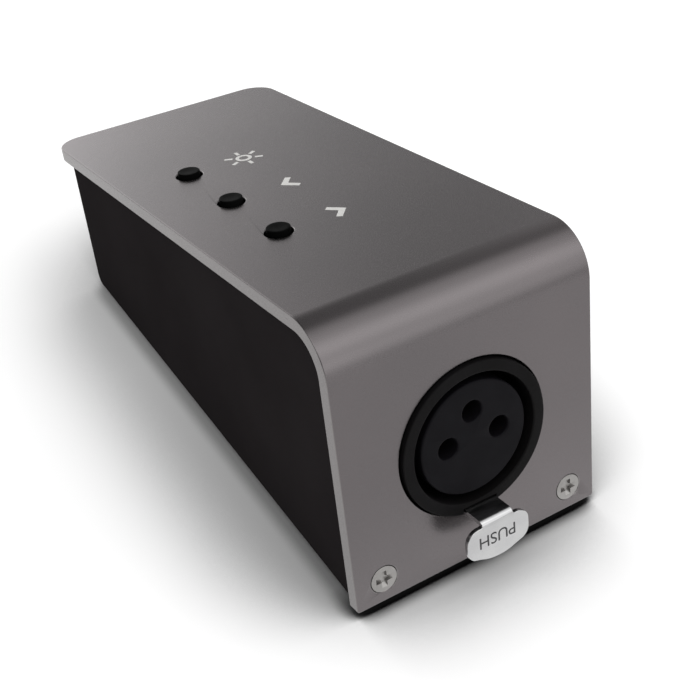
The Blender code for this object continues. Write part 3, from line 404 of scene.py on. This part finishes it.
def finish(name, shades, rough, metallic=0.0, cloud=0.012, grain=0.00012, lift=0.000002, drawn=(1, 1, 1),
           **sockets):
    """A surface finish. Slow clouds drift its colour between two shades, and a fine grain, drawn out along an
    axis for a brushed one, moves its roughness between two values and lifts the surface a little."""
    look = bpy.data.materials.new(name)
    look.use_nodes = True
    tree = look.node_tree
    place = wire(tree, "TexCoord", {}).outputs["Object"]
    clouds = wire(tree, "TexNoise", {"Vector": place, "Scale": 1 / cloud, "Detail": 3.0})
    stretched = wire(tree, "Mapping", {"Vector": place, "Scale": drawn})
    grains = wire(tree, "TexNoise", {"Vector": stretched.outputs[0], "Scale": 1 / grain, "Detail": 2.0})
    spread = {"From Min": NOISE_LOW, "From Max": NOISE_HIGH}
    drift = wire(tree, "MapRange", {"Value": clouds.outputs[0], **spread})
    shade = wire(tree, "Mix", {0: drift.outputs[0], 6: tint(*shades[0]), 7: tint(*shades[1])},
                 data_type="RGBA")
    sheen = wire(tree, "MapRange", {"Value": grains.outputs[0], **spread, "To Min": rough[0],
                                    "To Max": rough[1]})
    bump = wire(tree, "Bump", {"Height": grains.outputs[0], "Strength": 1.0, "Distance": lift})
    shader = tree.nodes["Principled BSDF"]
    tree.links.new(shade.outputs[2], shader.inputs["Base Color"])
    tree.links.new(sheen.outputs[0], shader.inputs["Roughness"])
    tree.links.new(bump.outputs[0], shader.inputs["Normal"])
    shader.inputs["Metallic"].default_value = metallic
    for socket, value in sockets.items():
        shader.inputs[socket.replace("_", " ")].default_value = value
    return look


cover_high = measured("top_cover")[1]
HALF_WIDTH = cover_high.x
FRONT_RISE = cover_high.z - COVER_BEND
BEND_LENGTH = COVER_BEND * math.pi / 2
PLATE_START = FRONT_RISE + BEND_LENGTH - COVER_BEND  # add this to a place's Y for its length along the blank
caps = [sum(measured(f"button_cap_{i}"), Vector()) / 2 for i in (1, 2, 3)]
foot, corner = COVER_FOOT_CORNER, COVER_CORNER
sheet_end = PLATE_START + cover_high.y
outlines = [rounded((-HALF_WIDTH, 0), (HALF_WIDTH, sheet_end), (foot, foot, corner, corner), 12)]
outlines.append(circle((0, RING_HEIGHT), RING_HOLE, 120))
outlines += [circle((cap.x, PLATE_START + cap.y), BUTTON_HOLE, 60) for cap in caps]
cover = cut_out(outlines, COVER_SHEET, COVER_RIM)
screw_x = sum(measured("front_screw_right"), Vector()).x / 2
cone = SINK_RADIUS - SINK_HOLE
past = COVER_SHEET + CUT_PAST
profile = [(0, CUT_PAST), (SINK_RADIUS + SINK_RELIEF, CUT_PAST), (SINK_RADIUS + SINK_RELIEF, 0.0),
           (SINK_RADIUS, -SINK_RELIEF), (SINK_HOLE, -cone), (SINK_HOLE, -past), (0, -past)]
sinks = [placed(turned(profile, 48), (side * screw_x, FRONT_SCREW_HEIGHT, 0)) for side in (-1, 1)]
cover = bent(shaped(cover, together(*sinks)), FRONT_RISE, COVER_BEND)
blasted = {"rough": (0.23, 0.30), "metallic": 1.0, "cloud": 0.03, "grain": 0.00009, "lift": 0.000003}
ANODISED = finish("grey_anodised_aluminium", COVER_SHADES, **blasted)
# The cut sides' finish is the anodised one in lighter shades: a painted highlight for the light they catch.
EDGE_PAINTED_HIGHLIGHT = finish("cut_edge_painted_highlight", EDGE_HIGHLIGHT_SHADES, **blasted)
plate = show("cover_plate", cover, ANODISED, "case", "satin_aluminium", "top_cover", sharp=50).data
plate.materials.append(EDGE_PAINTED_HIGHLIGHT)
# Faces that look sideways take the second material, the painted highlight.
facing = np.empty(3 * len(plate.polygons))
plate.polygons.foreach_get("normal", facing)
plate.polygons.foreach_set("material_index", (np.abs(facing[::3]) > HIGHLIGHT_EDGE_FACING).astype(np.int32))


# Signs: a sun, a left arrow and a right arrow, screen printed in pale ink beside the buttons. They only say
# what each button does.
INK = 0.00003
INK_RIM = INK / 8
SUN_PLACE, SUN_RADIUS, SUN_STROKE = (0.0001, 0.0567), 0.00128, 0.00056
RAY_START, RAY_END, RAY_TURN, RAYS = 0.00172, 0.00298, 30, 6
LEFT_PLACE, RIGHT_PLACE = (0.00015, 0.0427), (0.0002, 0.02875)
CHEVRON_REACH, CHEVRON_RISE, CHEVRON_STROKE = 0.00185, 0.0021, 0.00088
CHEVRON_TIP, CHEVRON_TAIL = 1.35, 0.65  # how far the tip and the tails lie from the middle, in half reaches
CHEVRON_CUT = (0.55, 0.72)  # how far a tail's cut goes, in strokes along X and in rises along Y
CHEVRON_NOTCH = 1.05  # how far the notch lies behind the tip, in strokes


def print_on_plate(name, marks):
    """A mark of ink that stands a few hundredths of a millimetre over the plate."""
    inks = [placed(cut_out(mark, INK, INK_RIM, 0), (0, 0, cover_high.z + INK)) for mark in marks]
    return show(name, together(*inks), PALE_INK, "case", "satin_aluminium")


def chevron(place, way):
    """An arrow head of even stroke, whose point looks along X by way: its tip, one tail, that tail's cut, the
    notch behind the tip, the other tail's cut and that tail."""
    x, y = place
    half, stroke = CHEVRON_REACH / 2, CHEVRON_STROKE / math.sin(math.atan2(CHEVRON_RISE, CHEVRON_REACH))
    tip, tail = x + way * half * CHEVRON_TIP, x - way * half * CHEVRON_TAIL
    cut, low = tail - way * stroke * CHEVRON_CUT[0], CHEVRON_RISE * CHEVRON_CUT[1]
    notch = tip - way * stroke * CHEVRON_NOTCH
    return np.array([(tip, y), (tail, y + CHEVRON_RISE), (cut, y + low), (notch, y), (cut, y - low),
                     (tail, y - CHEVRON_RISE)])


PALE_INK = finish("pale_ink", ((222, 221, 218), (230, 229, 226)), (0.5, 0.6), cloud=0.004)
sun = [[circle(SUN_PLACE, SUN_RADIUS, 60), circle(SUN_PLACE, SUN_RADIUS - SUN_STROKE, 45)]]
for k in range(RAYS):
    angle = math.radians(RAY_TURN + 360 / RAYS * k)
    way = np.array([math.cos(angle), math.sin(angle)])
    aside = np.array([-way[1], way[0]]) * SUN_STROKE / 2
    inner, outer = SUN_PLACE + way * RAY_START, SUN_PLACE + way * RAY_END
    sun.append([np.array([inner - aside, outer - aside, outer + aside, inner + aside])])
print_on_plate("sun_sign", sun)
print_on_plate("left_arrow_sign", [[chevron(LEFT_PLACE, -1)]])
print_on_plate("right_arrow_sign", [[chevron(RIGHT_PLACE, 1)]])


# Push buttons: three moulded black caps, each with a flange below the plate, a rounded edge and a slightly
# dished top. They stand on the plungers of the switches inside.
CAP_RADIUS = 0.00176
CAP_TOP_RADIUS = 0.00169
CAP_EDGE = 0.00012
CAP_DISH = 0.00006
DISH_RADIUS = 0.0013
DISH_INNER, DISH_SHARE = 0.0008, 0.6  # a ring inside the dish, and the share of the full depth there
CAP_FLANGE = 0.0008
FLANGE_RADIUS, FLANGE_EDGE = 0.00285, 0.0001

BUTTON_BLACK = finish("moulded_black_button", ((8, 8, 8), (12, 12, 12)), (0.3, 0.38), cloud=0.004,
                      grain=0.0001, lift=0.000001, Specular_IOR_Level=0.01)
for i in (1, 2, 3):
    low, high = measured(f"button_cap_{i}")
    tall = high.z - low.z
    dish = [(0.0, tall - CAP_DISH), (DISH_INNER, tall - DISH_SHARE * CAP_DISH), (DISH_RADIUS, tall)]
    edge = arc((CAP_TOP_RADIUS - CAP_EDGE, tall - CAP_EDGE), CAP_EDGE, 90, 0, 6).tolist()
    skirt = [(CAP_RADIUS, CAP_FLANGE), (FLANGE_RADIUS - FLANGE_EDGE, CAP_FLANGE),
             (FLANGE_RADIUS, CAP_FLANGE - FLANGE_EDGE), (FLANGE_RADIUS, FLANGE_EDGE),
             (FLANGE_RADIUS - FLANGE_EDGE, 0.0), (0.0, 0.0)]
    cap = placed(turned(dish + edge + skirt, 56), ((low.x + high.x) / 2, (low.y + high.y) / 2, low.z))
    show(f"button_{i}_cap", cap, BUTTON_BLACK, f"button_{i}", "black_plastic", f"button_cap_{i}")


# Base tray: 1 mm steel, folded up at both sides and at the rear, and powder coated matt black. Its floor
# slopes against the plate. Two ears take the front screws, a flange hooks over the clip at the rear, and the
# USB socket looks out through its rear wall.
TRAY_SHEET = 0.0010
TRAY_REAR_BEND = 0.0025
TRAY_FOLD = 0.0012
NEAR_FLOOR = 0.0005  # an edge that lies less than this over the floor's line belongs to the floor
FORWARD_OPEN, UP_OPEN, SLANT_OPEN = 0.5, 0.9, 0.05  # how far a face of the block has to look that way to go
USB_GAP, USB_HOLE_CORNER = 0.0003, 0.0003
CUTTER_RIM, CUTTER_DEPTH = 0.00001, 0.006
EAR_GAP, EAR_CORNER, EAR_RIM = 0.0001, 0.0001, 0.00005
EAR_TOP = 0.0072
EAR_INNER = 0.0121
EAR_HOLE = 0.0012
FLANGE_HALF, FLANGE_DEPTH, FLANGE_CORNER = 0.0100, 0.0060, 0.0004

tray_low, tray_high = measured("base_tray")
CAST = math.tan(WEDGE)
toe = tray_low.z - tray_low.y * CAST
tray_front, tray_rear, tray_top, tray_half = tray_low.y, tray_high.y, tray_high.z, tray_high.x


def floor_line(y, inset=0.0):
    """Height of the tray's floor at y, or of the line inset above it: the toe, plus y times the slope."""
    return toe + y * CAST + inset / math.cos(WEDGE)


fold_y = tray_rear - TRAY_REAR_BEND
fold_middle = (fold_y, floor_line(fold_y, TRAY_REAR_BEND))
under_bend = arc((COVER_BEND, cover_high.z - COVER_BEND), COVER_BEND - tray_front, 90, 180, 12)
fold = arc(fold_middle, TRAY_REAR_BEND, math.degrees(WEDGE) - 90, 0, 12)
front_foot, rear_top = (tray_front, floor_line(tray_front)), (tray_rear, tray_top)
side_view = np.concatenate([[front_foot], fold, [rear_top], under_bend])
tray = skinned([np.insert(side_view, 0, x, axis=1) for x in (-tray_half, tray_half)])
shape = bmesh.new()
shape.from_mesh(tray)
folded = []
for edge in shape.edges:
    a, b = (v.co for v in edge.verts)
    along_side = abs(a.x - b.x) < TOUCHING
    at_floor = max(a.z - floor_line(a.y), b.z - floor_line(b.y)) < NEAR_FLOOR
    at_rear = min(a.y, b.y) > fold_y - TOUCHING
    behind_front = max(a.y, b.y) > tray_front + 10 * TOUCHING
    if along_side and (at_floor or at_rear) and behind_front:
        folded.append(edge)
bmesh.ops.bevel(shape, geom=folded, offset=TRAY_FOLD, segments=5, profile=0.5, affect="EDGES")
shape.normal_update()
open_faces = []  # the front, the top and what lies along the cover's bend
for face in shape.faces:
    forward, up = -face.normal.y, face.normal.z
    if forward > FORWARD_OPEN or up > UP_OPEN or min(up, forward) > SLANT_OPEN:
        open_faces.append(face)
bmesh.ops.delete(shape, geom=open_faces, context="FACES")
shape.to_mesh(tray)
shape.free()
hull = put_up("tray_shell", tray)
wall = hull.modifiers.new("sheet", "SOLIDIFY")
wall.thickness = TRAY_SHEET
wall.offset = -1
wall.use_even_offset = True
tray = finished(hull)
usb_low, usb_high = measured("usb_shell")
opening = rounded((-usb_high.x - USB_GAP, usb_low.z - USB_GAP), (usb_high.x + USB_GAP, usb_high.z + USB_GAP),
                  (USB_HOLE_CORNER,) * 4, 4)
cutter = cut_out([opening], CUTTER_DEPTH, CUTTER_RIM, 0)
tray = shaped(tray, placed(cutter, (0, tray_rear - CUTTER_DEPTH / 2, 0), (90, 0, 0)))
ear_foot = floor_line(tray_front, TRAY_SHEET / 2)
flaps = []
for side in (-1, 1):
    left, right = sorted((side * EAR_INNER, side * (tray_half - TRAY_SHEET / 2)))
    ear = rounded((left, ear_foot), (right, EAR_TOP), (EAR_CORNER,) * 4, 2)
    hole = circle((side * screw_x, FRONT_SCREW_HEIGHT), EAR_HOLE, 24)
    ear = cut_out([ear, hole], TRAY_SHEET, EAR_RIM, 0)
    flaps.append(placed(ear, (0, tray_front + EAR_GAP, 0), (90, 0, 0)))
flange = rounded((-FLANGE_HALF, tray_rear - FLANGE_DEPTH), (FLANGE_HALF, tray_rear - TRAY_SHEET / 2),
                 (FLANGE_CORNER,) * 4)
flaps.append(placed(cut_out([flange], TRAY_SHEET, EAR_RIM, 0), (0, 0, tray_top - EAR_GAP)))
tray = shaped(tray, together(*flaps), "UNION")
POWDER_COAT = finish("black_powder_coat", ((42, 39, 40), (47, 44, 45)), (0.5, 0.62), cloud=0.02, grain=0.0004,
                     lift=0.000006, Specular_IOR_Level=0.0)
show("tray_shell", tray, POWDER_COAT, "case", "black_powder_coat", "base_tray", sharp=40)


# Front screws: two small countersunk screws with cross recesses, zinc plated. Their heads lie flush in the
# cover, and they run through the tray's ears into the clinch nuts.
HEAD_RADIUS, HEAD_EDGE, HEAD_SINK = 0.00196, 0.00006, 0.00004
SHANK_RADIUS = 0.0010
RECESS_REACH, RECESS_SLOT, RECESS_DEPTH, RECESS_ABOVE = 0.00128, 0.00078, 0.0005, 0.0005
RECESS_TAPER = np.array([(1.0, 0.6), (0.55, 0.4)])  # of reach and of slot, each at the top and at the bottom

ZINC = finish("zinc_plate", ((146, 144, 142), (156, 154, 152)), (0.3, 0.42), metallic=1.0, cloud=0.002,
              grain=0.00008, lift=0.000003)
reaches, halves = RECESS_TAPER[0] * RECESS_REACH, RECESS_TAPER[1] * RECESS_SLOT
crosses = [
    [(r, -w), (r, w), (w, w), (w, r), (-w, r), (-w, w),
     (-r, w), (-r, -w), (-w, -w), (-w, -r), (w, -r), (w, -w)] for r, w in zip(reaches, halves)
]
heights = (RECESS_ABOVE, 0, -RECESS_DEPTH)
levels = [np.insert(cross, 2, height, axis=1) for cross, height in zip([crosses[0]] + crosses, heights)]
for side, word in ((-1, "left"), (1, "right")):
    tip = -measured(f"front_screw_{word}")[1].y
    cone = HEAD_RADIUS - SHANK_RADIUS
    edge = arc((HEAD_RADIUS - HEAD_EDGE, -HEAD_SINK - HEAD_EDGE), HEAD_EDGE, 90, 0, 3).tolist()
    head = [(0, -HEAD_SINK)] + edge + [(SHANK_RADIUS, -cone - HEAD_SINK), (SHANK_RADIUS, tip), (0, tip)]
    screw = shaped(turned(head, 48), skinned(levels))
    screw = placed(screw, (side * screw_x, 0, FRONT_SCREW_HEIGHT), (90, 0, 0))
    show(f"cover_screw_{word}", screw, ZINC, "case", "bright_steel", f"front_screw_{word}", sharp=30)


# Inside fixings: the rear clip, the clinch nuts, the four board standoffs and their screws. They are plated
# steel, hidden in the case, and keep the CAD's shapes.


def dress(look, *nodes):
    """Gives CAD nodes a finish and leaves their shapes alone."""
    for node in nodes:
        piece = frame["nodes"][node]
        if not piece.material_slots:
            piece.data.materials.append(look)
        for place in piece.material_slots:
            place.material = look


ends = ("front_left", "front_right", "rear_left", "rear_right")
dress(ZINC, "rear_clip", "clinch_nut_left", "clinch_nut_right", *(f"standoff_{end}" for end in ends))
dress(ZINC, *(f"board_screw_{end}" for end in ends))


# Feet: four thin round pads of black rubber, punched from sheet, with their lower rims worn round. They are
# stuck under the tray's corners and keep the case from sliding.
FOOT_RIM, FOOT_EDGE = 0.00015, 0.00005

RUBBER = finish("black_rubber", ((28, 28, 29), (38, 38, 39)), (0.75, 0.9), cloud=0.003, grain=0.0002,
                lift=0.00001, Specular_IOR_Level=0.2)
for end in ends:
    low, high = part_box(f"foot_{end}")
    radius, tall = (high[0] - low[0]) / 2, high[2] - low[2]
    rim = arc((radius - FOOT_RIM, FOOT_RIM), FOOT_RIM, 0, -90, 4).tolist()
    pad = turned([(0, tall), (radius - FOOT_EDGE, tall), (radius, tall - FOOT_EDGE)] + rim + [(0, 0)], 56)
    spot = Matrix.Translation(((low[0] + high[0]) / 2, (low[1] + high[1]) / 2, low[2]))
    show(f"rubber_foot_{end}", pad, RUBBER, "case", "rubber", f"foot_{end}", place=spot)


# Round data socket, housing: moulded black nylon. Its ring stands a little proud of the cover, its bore takes
# the plug's shell, and a channel below the bore carries the latch and its spring.
HOUSING_CORNER, HOUSING_RIM = 0.0006, 0.0003
RING_PROUD, RING_RADIUS, RING_EDGE, RING_ROOT = 0.0006, 0.0111, 0.00018, 0.0005
BORE_RADIUS, BORE_MOUTH = 0.0094, 0.00025
BACK_WALL, REAR_OPENING = 0.0040, 0.0074
CHANNEL_HALF = 0.0027
LATCH_WAY = ((-0.0010, 0.0070), (0.0024, 0.0070), (0.0024, 0.00775), (0.0078, 0.00775), (0.0078, 0.00629),
             (0.0109, 0.00629), (0.0109, 0.0100), (0.0067, 0.0100), (0.0067, 0.00885), (-0.0010, 0.00885))
POCKET_RADIUS, POCKET_LENGTH, POCKET_END, POCKET_HEIGHT = 0.00128, 0.0029, 0.0136, 0.00757

SOCKET_BLACK = finish("black_moulded_nylon", ((15, 14, 14), (20, 19, 20)), (0.42, 0.54), cloud=0.005,
                      grain=0.00025, lift=0.000003, Specular_IOR_Level=0.05)
low, high = measured("socket_housing")
block_front = tray_front
front_view = rounded((-high.x, low.z), (high.x, high.z), (HOUSING_CORNER,) * 4, 5)
housing = placed(cut_out([front_view], high.y - block_front, HOUSING_RIM), (0, block_front, 0), (90, 0, 0))
edge = arc((RING_RADIUS - RING_EDGE, RING_PROUD - RING_EDGE), RING_EDGE, 90, 0, 5).tolist()
root = -block_front - RING_ROOT
ring = turned([(0, RING_PROUD)] + edge + [(RING_RADIUS, root), (0, root)], 128)
housing = shaped(housing, placed(ring, (0, 0, RING_HEIGHT), (90, 0, 0)), "UNION")
bore_end, past = BACK_WALL - high.y, -high.y - CUT_PAST
bore = [(0, 2 * CUT_PAST), (BORE_RADIUS + BORE_MOUTH, 2 * CUT_PAST)]
bore += arc((BORE_RADIUS + BORE_MOUTH, RING_PROUD - BORE_MOUTH), BORE_MOUTH, 90, 180, 5).tolist()
bore += [(BORE_RADIUS, bore_end), (REAR_OPENING, bore_end), (REAR_OPENING, past), (0, past)]
housing = shaped(housing, placed(turned(bore, 128), (0, 0, RING_HEIGHT), (90, 0, 0)))
way = cut_out([np.array(LATCH_WAY)], 2 * CHANNEL_HALF, CUTTER_RIM, 0)
housing = shaped(housing, placed(way, (CHANNEL_HALF, 0, 0), (90, 0, 90)))
pocket = turned([(0, 0), (POCKET_RADIUS, 0), (POCKET_RADIUS, -POCKET_LENGTH), (0, -POCKET_LENGTH)], 32)
housing = shaped(housing, placed(pocket, (0, POCKET_END - POCKET_LENGTH, POCKET_HEIGHT), (90, 0, 0)))
show("socket_body", housing, SOCKET_BLACK, "case", "black_plastic", "socket_housing", sharp=30)


# Round data socket, core: the moulded insert with its three contact holes, and the carrier behind it. The
# holes' mouths are flared to lead the plug's pins in.
CORE_RADIUS, CORE_EDGE = 0.0082, 0.0003
PIN_CIRCLE, PIN_HOLE, PIN_FLARE = 0.0040, 0.0015, 0.0003

CORE_BLACK = finish("black_moulded_core", ((15, 14, 17), (20, 19, 22)), (0.36, 0.46), cloud=0.004,
                    grain=0.0002, lift=0.000002, Specular_IOR_Level=0.05)
low, high = measured("socket_insert")
edge = arc((CORE_RADIUS - CORE_EDGE, -low.y - CORE_EDGE), CORE_EDGE, 90, 0, 6).tolist()
core = turned([(0, -low.y)] + edge + [(CORE_RADIUS, -high.y), (0, -high.y)], 128)
past = -high.y - CUT_PAST
drill = [(0, 2 * CUT_PAST), (PIN_HOLE + PIN_FLARE, 2 * CUT_PAST)]
drill += arc((PIN_HOLE + PIN_FLARE, -low.y - PIN_FLARE), PIN_FLARE, 90, 180, 4).tolist()
drill += [(PIN_HOLE, past), (0, past)]
for x, z in ((-PIN_CIRCLE, 0), (PIN_CIRCLE, 0), (0, PIN_CIRCLE)):
    core = shaped(core, placed(turned(drill, 40), (x, z, 0)))
core = placed(core, (0, 0, RING_HEIGHT), (90, 0, 0))
show("socket_core", core, CORE_BLACK, "case", "black_plastic", "socket_insert", sharp=30)
dress(CORE_BLACK, "contact_carrier")


# Socket contacts: three gold plated sleeves, and the brass strip in the top of the bore that earths the
# plug's shell.
GOLD = finish("gold_plate", ((196, 152, 70), (212, 168, 84)), (0.22, 0.34), metallic=1.0, cloud=0.002,
              grain=0.0001, lift=0.000001)
BRASS = finish("brass_strip", ((190, 156, 92), (205, 172, 108)), (0.28, 0.4), metallic=1.0, cloud=0.002,
               grain=0.0001, lift=0.000001, drawn=(1, 0.1, 1))
dress(GOLD, *(f"socket_contact_{k}" for k in (1, 2, 3)))
dress(BRASS, "ground_contact")


# Push latch: bright nickel plated sheet steel. The tab hangs in front of the ring, the arm runs back under
# the bore, and at its end stand the locking tooth and the tail that the spring pushes.
LATCH_SHEET, LATCH_RIM = 0.0007, 0.0001
LATCH_HALF, LATCH_BEND = 0.0025, 0.0008
TAB_HALF, TAB_TALL, TAB_BULGE, TAB_CORNER, TAB_RELIEF = 0.00495, 0.0049, 0.0007, 0.0019, 0.0003
LATCH_TOP, TOOTH_FRONT, TOOTH_BACK, TOOTH_ROOT = 0.00865, 0.0069, 0.0087, 0.0002
TAIL_FOOT, TAIL_RIM = 0.00649, 0.00004

NICKEL = finish("nickel_plate", ((189, 189, 190), (198, 198, 198)), (0.2, 0.27), metallic=1.0, cloud=0.003,
                grain=0.0003, lift=0.0000004, drawn=(0.15, 1, 1))
low, high = measured("latch")
tab_face, tooth_top = low.y, high.z
shoulder = LATCH_TOP - LATCH_BEND
tab_low = shoulder - TAB_TALL
half_low = TAB_HALF - TAB_CORNER
swell_radius = (half_low ** 2 + TAB_BULGE ** 2) / (2 * TAB_BULGE)
swell = math.degrees(math.asin(half_low / swell_radius))
neck = (LATCH_HALF + TAB_RELIEF, shoulder + TAB_RELIEF)
arm_end = shoulder + LATCH_BEND * math.pi / 2 + TOOTH_FRONT - tab_face - LATCH_BEND
right = np.concatenate([
    arc((half_low, tab_low + TAB_CORNER), TAB_CORNER, swell - 90, 0, 8),
    arc((half_low, shoulder - TAB_CORNER), TAB_CORNER, 0, 90, 10),
    arc(neck, TAB_RELIEF, 270, 180, 5),
    [(LATCH_HALF, arm_end)],
])
bottom = arc((0, tab_low - TAB_BULGE + swell_radius), swell_radius, 270 - swell, 270 + swell, 16)[:-1]
pattern = np.concatenate([bottom, right, (right * (-1, 1))[::-1][:-1]])
arm = bent(cut_out([pattern], LATCH_SHEET, LATCH_RIM), shoulder, LATCH_BEND, tab_face, steps=10)
under = LATCH_TOP - LATCH_SHEET
root, tail_front = TOOTH_FRONT - TOOTH_ROOT, TOOTH_BACK - LATCH_SHEET
tail = [(root, under), (tail_front, under), (tail_front, TAIL_FOOT), (TOOTH_BACK, TAIL_FOOT),
        (TOOTH_BACK, tooth_top), (tail_front, tooth_top), (TOOTH_FRONT, LATCH_TOP), (root, LATCH_TOP)]
tail = placed(cut_out([np.array(tail)], 2 * LATCH_HALF, TAIL_RIM, 0), (LATCH_HALF, 0, 0), (90, 0, 90))
show("push_latch", shaped(arm, tail, "UNION"), NICKEL, "latch", "bright_steel", "latch", sharp=30)


# The word on the latch: the plain PUSH that such latches carry, stamped thin and filled with dark paint. The
# socket sits with its latch below, so the word stands on its head.
WORD_SIZE, WORD_SHIFT, WORD_MIDDLE, WORD_PROUD = 0.00255, -0.0002, 0.0056, 0.00002

letters = bpy.data.curves.new("push_word", "FONT")
letters.body = "PUSH"
letters.size = WORD_SIZE
letters.align_x = "CENTER"
letters.align_y = "CENTER"
letters.extrude = WORD_PROUD
word = merged(finished(put_up("push_word", letters)))
word = placed(word, (WORD_SHIFT, tab_face, WORD_MIDDLE), (90, 180, 0))
STAMP = finish("dark_stamp", ((40, 40, 42), (52, 52, 54)), (0.5, 0.6), cloud=0.001)
show("push_word", word, STAMP, "latch", "bright_steel")


# Latch spring: a coil of bright spring wire between the latch's tail and the end of its pocket, with its end
# turns lying close together. The real spring gets shorter as the latch is pushed in; this coil keeps its rest
# length.
SPRING_TURNS, SPRING_WIRE = 6, 0.00018
SPRING_CLOSING = 0.8  # how much closer the end turns lie than even ones would

SPRING_STEEL = finish("spring_wire", ((150, 150, 152), (168, 168, 170)), (0.22, 0.34), metallic=1.0,
                      cloud=0.001, grain=0.00005, lift=0.000001)


def coil_spring(low, high, steps=24, sides=12):
    """A coil along Y that fills a box. At the share t of its length, the wire's middle has gone t whole coils
    round and stands at the share t + SPRING_CLOSING (3 t^2 - 2 t^3 - t) of the way along. The wire's circle
    is drawn in the plane through the coil's axis: its point at the angle a lies wire cos a further out and
    wire sin a further along."""
    share = np.linspace(0, 1, steps * SPRING_TURNS + 1)[:, None]
    around = np.arange(sides) * math.tau / sides
    eased = share + SPRING_CLOSING * (3 * share ** 2 - 2 * share ** 3 - share)
    along = low.y + SPRING_WIRE + (high.y - low.y - 2 * SPRING_WIRE) * eased + SPRING_WIRE * np.sin(around)
    out = (high.x - low.x) / 2 - SPRING_WIRE + SPRING_WIRE * np.cos(around)
    turn = math.tau * SPRING_TURNS * share
    middle = (low + high) / 2
    return skinned(np.stack([middle.x + out * np.cos(turn), along, middle.z + out * np.sin(turn)], axis=-1))


low, high = measured("latch_spring")
coil = show("latch_coil", coil_spring(low, high), SPRING_STEEL, "case", "bright_steel", "latch_spring")
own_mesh(coil)


# Circuit board: green solder mask over copper tracks, with its switches, chips, crystal, capacitor and
# isolating converter. It hangs under the plate and can't be seen from outside.
MASK_SHADES = ((16, 84, 46), (20, 98, 54))
TRACK_SHADE = (36, 124, 72)
TRACK_PITCH, TRACK_STRAY = 0.0022, 0.6
TRACK_HALF, TRACK_FADE = 0.05, 0.08  # how far from its middle a track starts to end and is gone, in pitches

MASK = finish("green_solder_mask", MASK_SHADES, (0.25, 0.4), cloud=0.008, grain=0.0003, lift=0.000004)
tree = MASK.node_tree
place = wire(tree, "TexCoord", {}).outputs["Object"]
cells = wire(tree, "TexVoronoi", {"Vector": place, "Scale": 1 / TRACK_PITCH, "Randomness": TRACK_STRAY},
             feature="DISTANCE_TO_EDGE", distance="MANHATTAN")
track = wire(tree, "MapRange", {"Value": cells.outputs["Distance"], "From Min": TRACK_HALF,
                                "From Max": TRACK_FADE, "To Min": 1.0, "To Max": 0.0})
shader = tree.nodes["Principled BSDF"]
mask = shader.inputs["Base Color"].links[0].from_socket
tracks = wire(tree, "Mix", {0: track.outputs[0], 6: mask, 7: tint(*TRACK_SHADE)}, data_type="RGBA")
tree.links.new(tracks.outputs[2], shader.inputs["Base Color"])
dress(MASK, "main_board")
CHIP_BLACK = finish("moulded_chip", ((34, 34, 35), (42, 42, 43)), (0.55, 0.7), cloud=0.002, grain=0.0001,
                    lift=0.000003, Specular_IOR_Level=0.3)
dress(CHIP_BLACK, "line_driver", "microcontroller", "isolating_converter")
dress(CHIP_BLACK, *(f"switch_body_{k}" for k in (1, 2, 3)))
dress(BUTTON_BLACK, *(f"switch_plunger_{k}" for k in (1, 2, 3)))
TIN = finish("tin_plate", ((188, 188, 188), (202, 202, 202)), (0.26, 0.38), metallic=1.0, cloud=0.004,
             grain=0.0001, lift=0.000002)
dress(TIN, "crystal", "capacitor")


# USB socket, shell: folded tinned steel round a square opening, with two lower corners cut off. Two sprung
# leaves in each side grip the plug.
USB_SHEET, USB_CHAMFER, USB_RIM = 0.0005, 0.0022, 0.00012
USB_CORNER, USB_TIGHTER = 0.0006, 0.6  # the upper corners' radius, and how fast it falls as they are drawn in
LEAF_WIDTH, LEAF_LENGTH, LEAF_BOW, LEAF_SHEET, LEAF_GAP = 0.0016, 0.0060, 0.0004, 0.0002, 0.00001
LEAF_INSET, LEAF_HEIGHTS = 0.0015, (-0.0011, 0.0023)  # from the mouth, and from the shell's middle height


def usb_outline(inset):
    """The shell's outline drawn in by inset: rounded upper corners, and a slanted cut at both lower ones."""
    half, top, bottom = usb_high.x - inset, usb_high.z - inset, usb_low.z + inset
    cut = USB_CHAMFER - inset * (2 - math.sqrt(2))
    r = USB_CORNER - inset * USB_TIGHTER
    return np.concatenate([
        arc((half - r, top - r), r, 0, 90, 4),
        arc((r - half, top - r), r, 90, 180, 4),
        [(-half, bottom + cut), (cut - half, bottom), (half - cut, bottom), (half, bottom + cut)],
    ])


def sprung_leaf(side, height, steps=12):
    """A bowed strip inside one side wall. With t from -1 to 1 along its length, its face stands off the wall
    by LEAF_GAP + LEAF_BOW (1 - t^2), and its back lies LEAF_SHEET nearer to the wall."""
    along = np.linspace(-1, 1, steps + 1)
    face = side * (usb_high.x - USB_SHEET) - side * LEAF_BOW * (1 - along ** 2) - side * LEAF_GAP
    back = face + side * LEAF_SHEET
    y = usb_high.y - LEAF_INSET - LEAF_LENGTH / 2 + along * LEAF_LENGTH / 2
    middle = (usb_low.z + usb_high.z) / 2 + height
    low, high = (np.full_like(along, middle + half) for half in (-LEAF_WIDTH / 2, LEAF_WIDTH / 2))
    edges = ((face, low), (face, high), (back, high), (back, low))
    return skinned(np.stack([np.stack([x, y, z], axis=-1) for x, z in edges], axis=1))


shell = cut_out([usb_outline(0), usb_outline(USB_SHEET)], usb_high.y - usb_low.y, USB_RIM)
shell = placed(shell, (0, usb_low.y, 0), (90, 0, 0))
sprung = [sprung_leaf(side, height) for side in (-1, 1) for height in LEAF_HEIGHTS]
show("usb_shell_folded", together(shell, *sprung), TIN, "case", "bright_steel", "usb_shell", sharp=30)


# USB socket, tongue: a moulded block of pale nylon that closes the shell's rear. Its tongue carries the four
# gold plated contacts, whose tails are pressed in from behind.
NYLON = finish("pale_nylon", ((214, 213, 205), (226, 225, 218)), (0.4, 0.5), cloud=0.004, grain=0.0002,
               lift=0.000003)
dress(NYLON, "usb_insulator")
dress(GOLD, *(f"usb_contact_{k}" for k in (1, 2, 3, 4)))
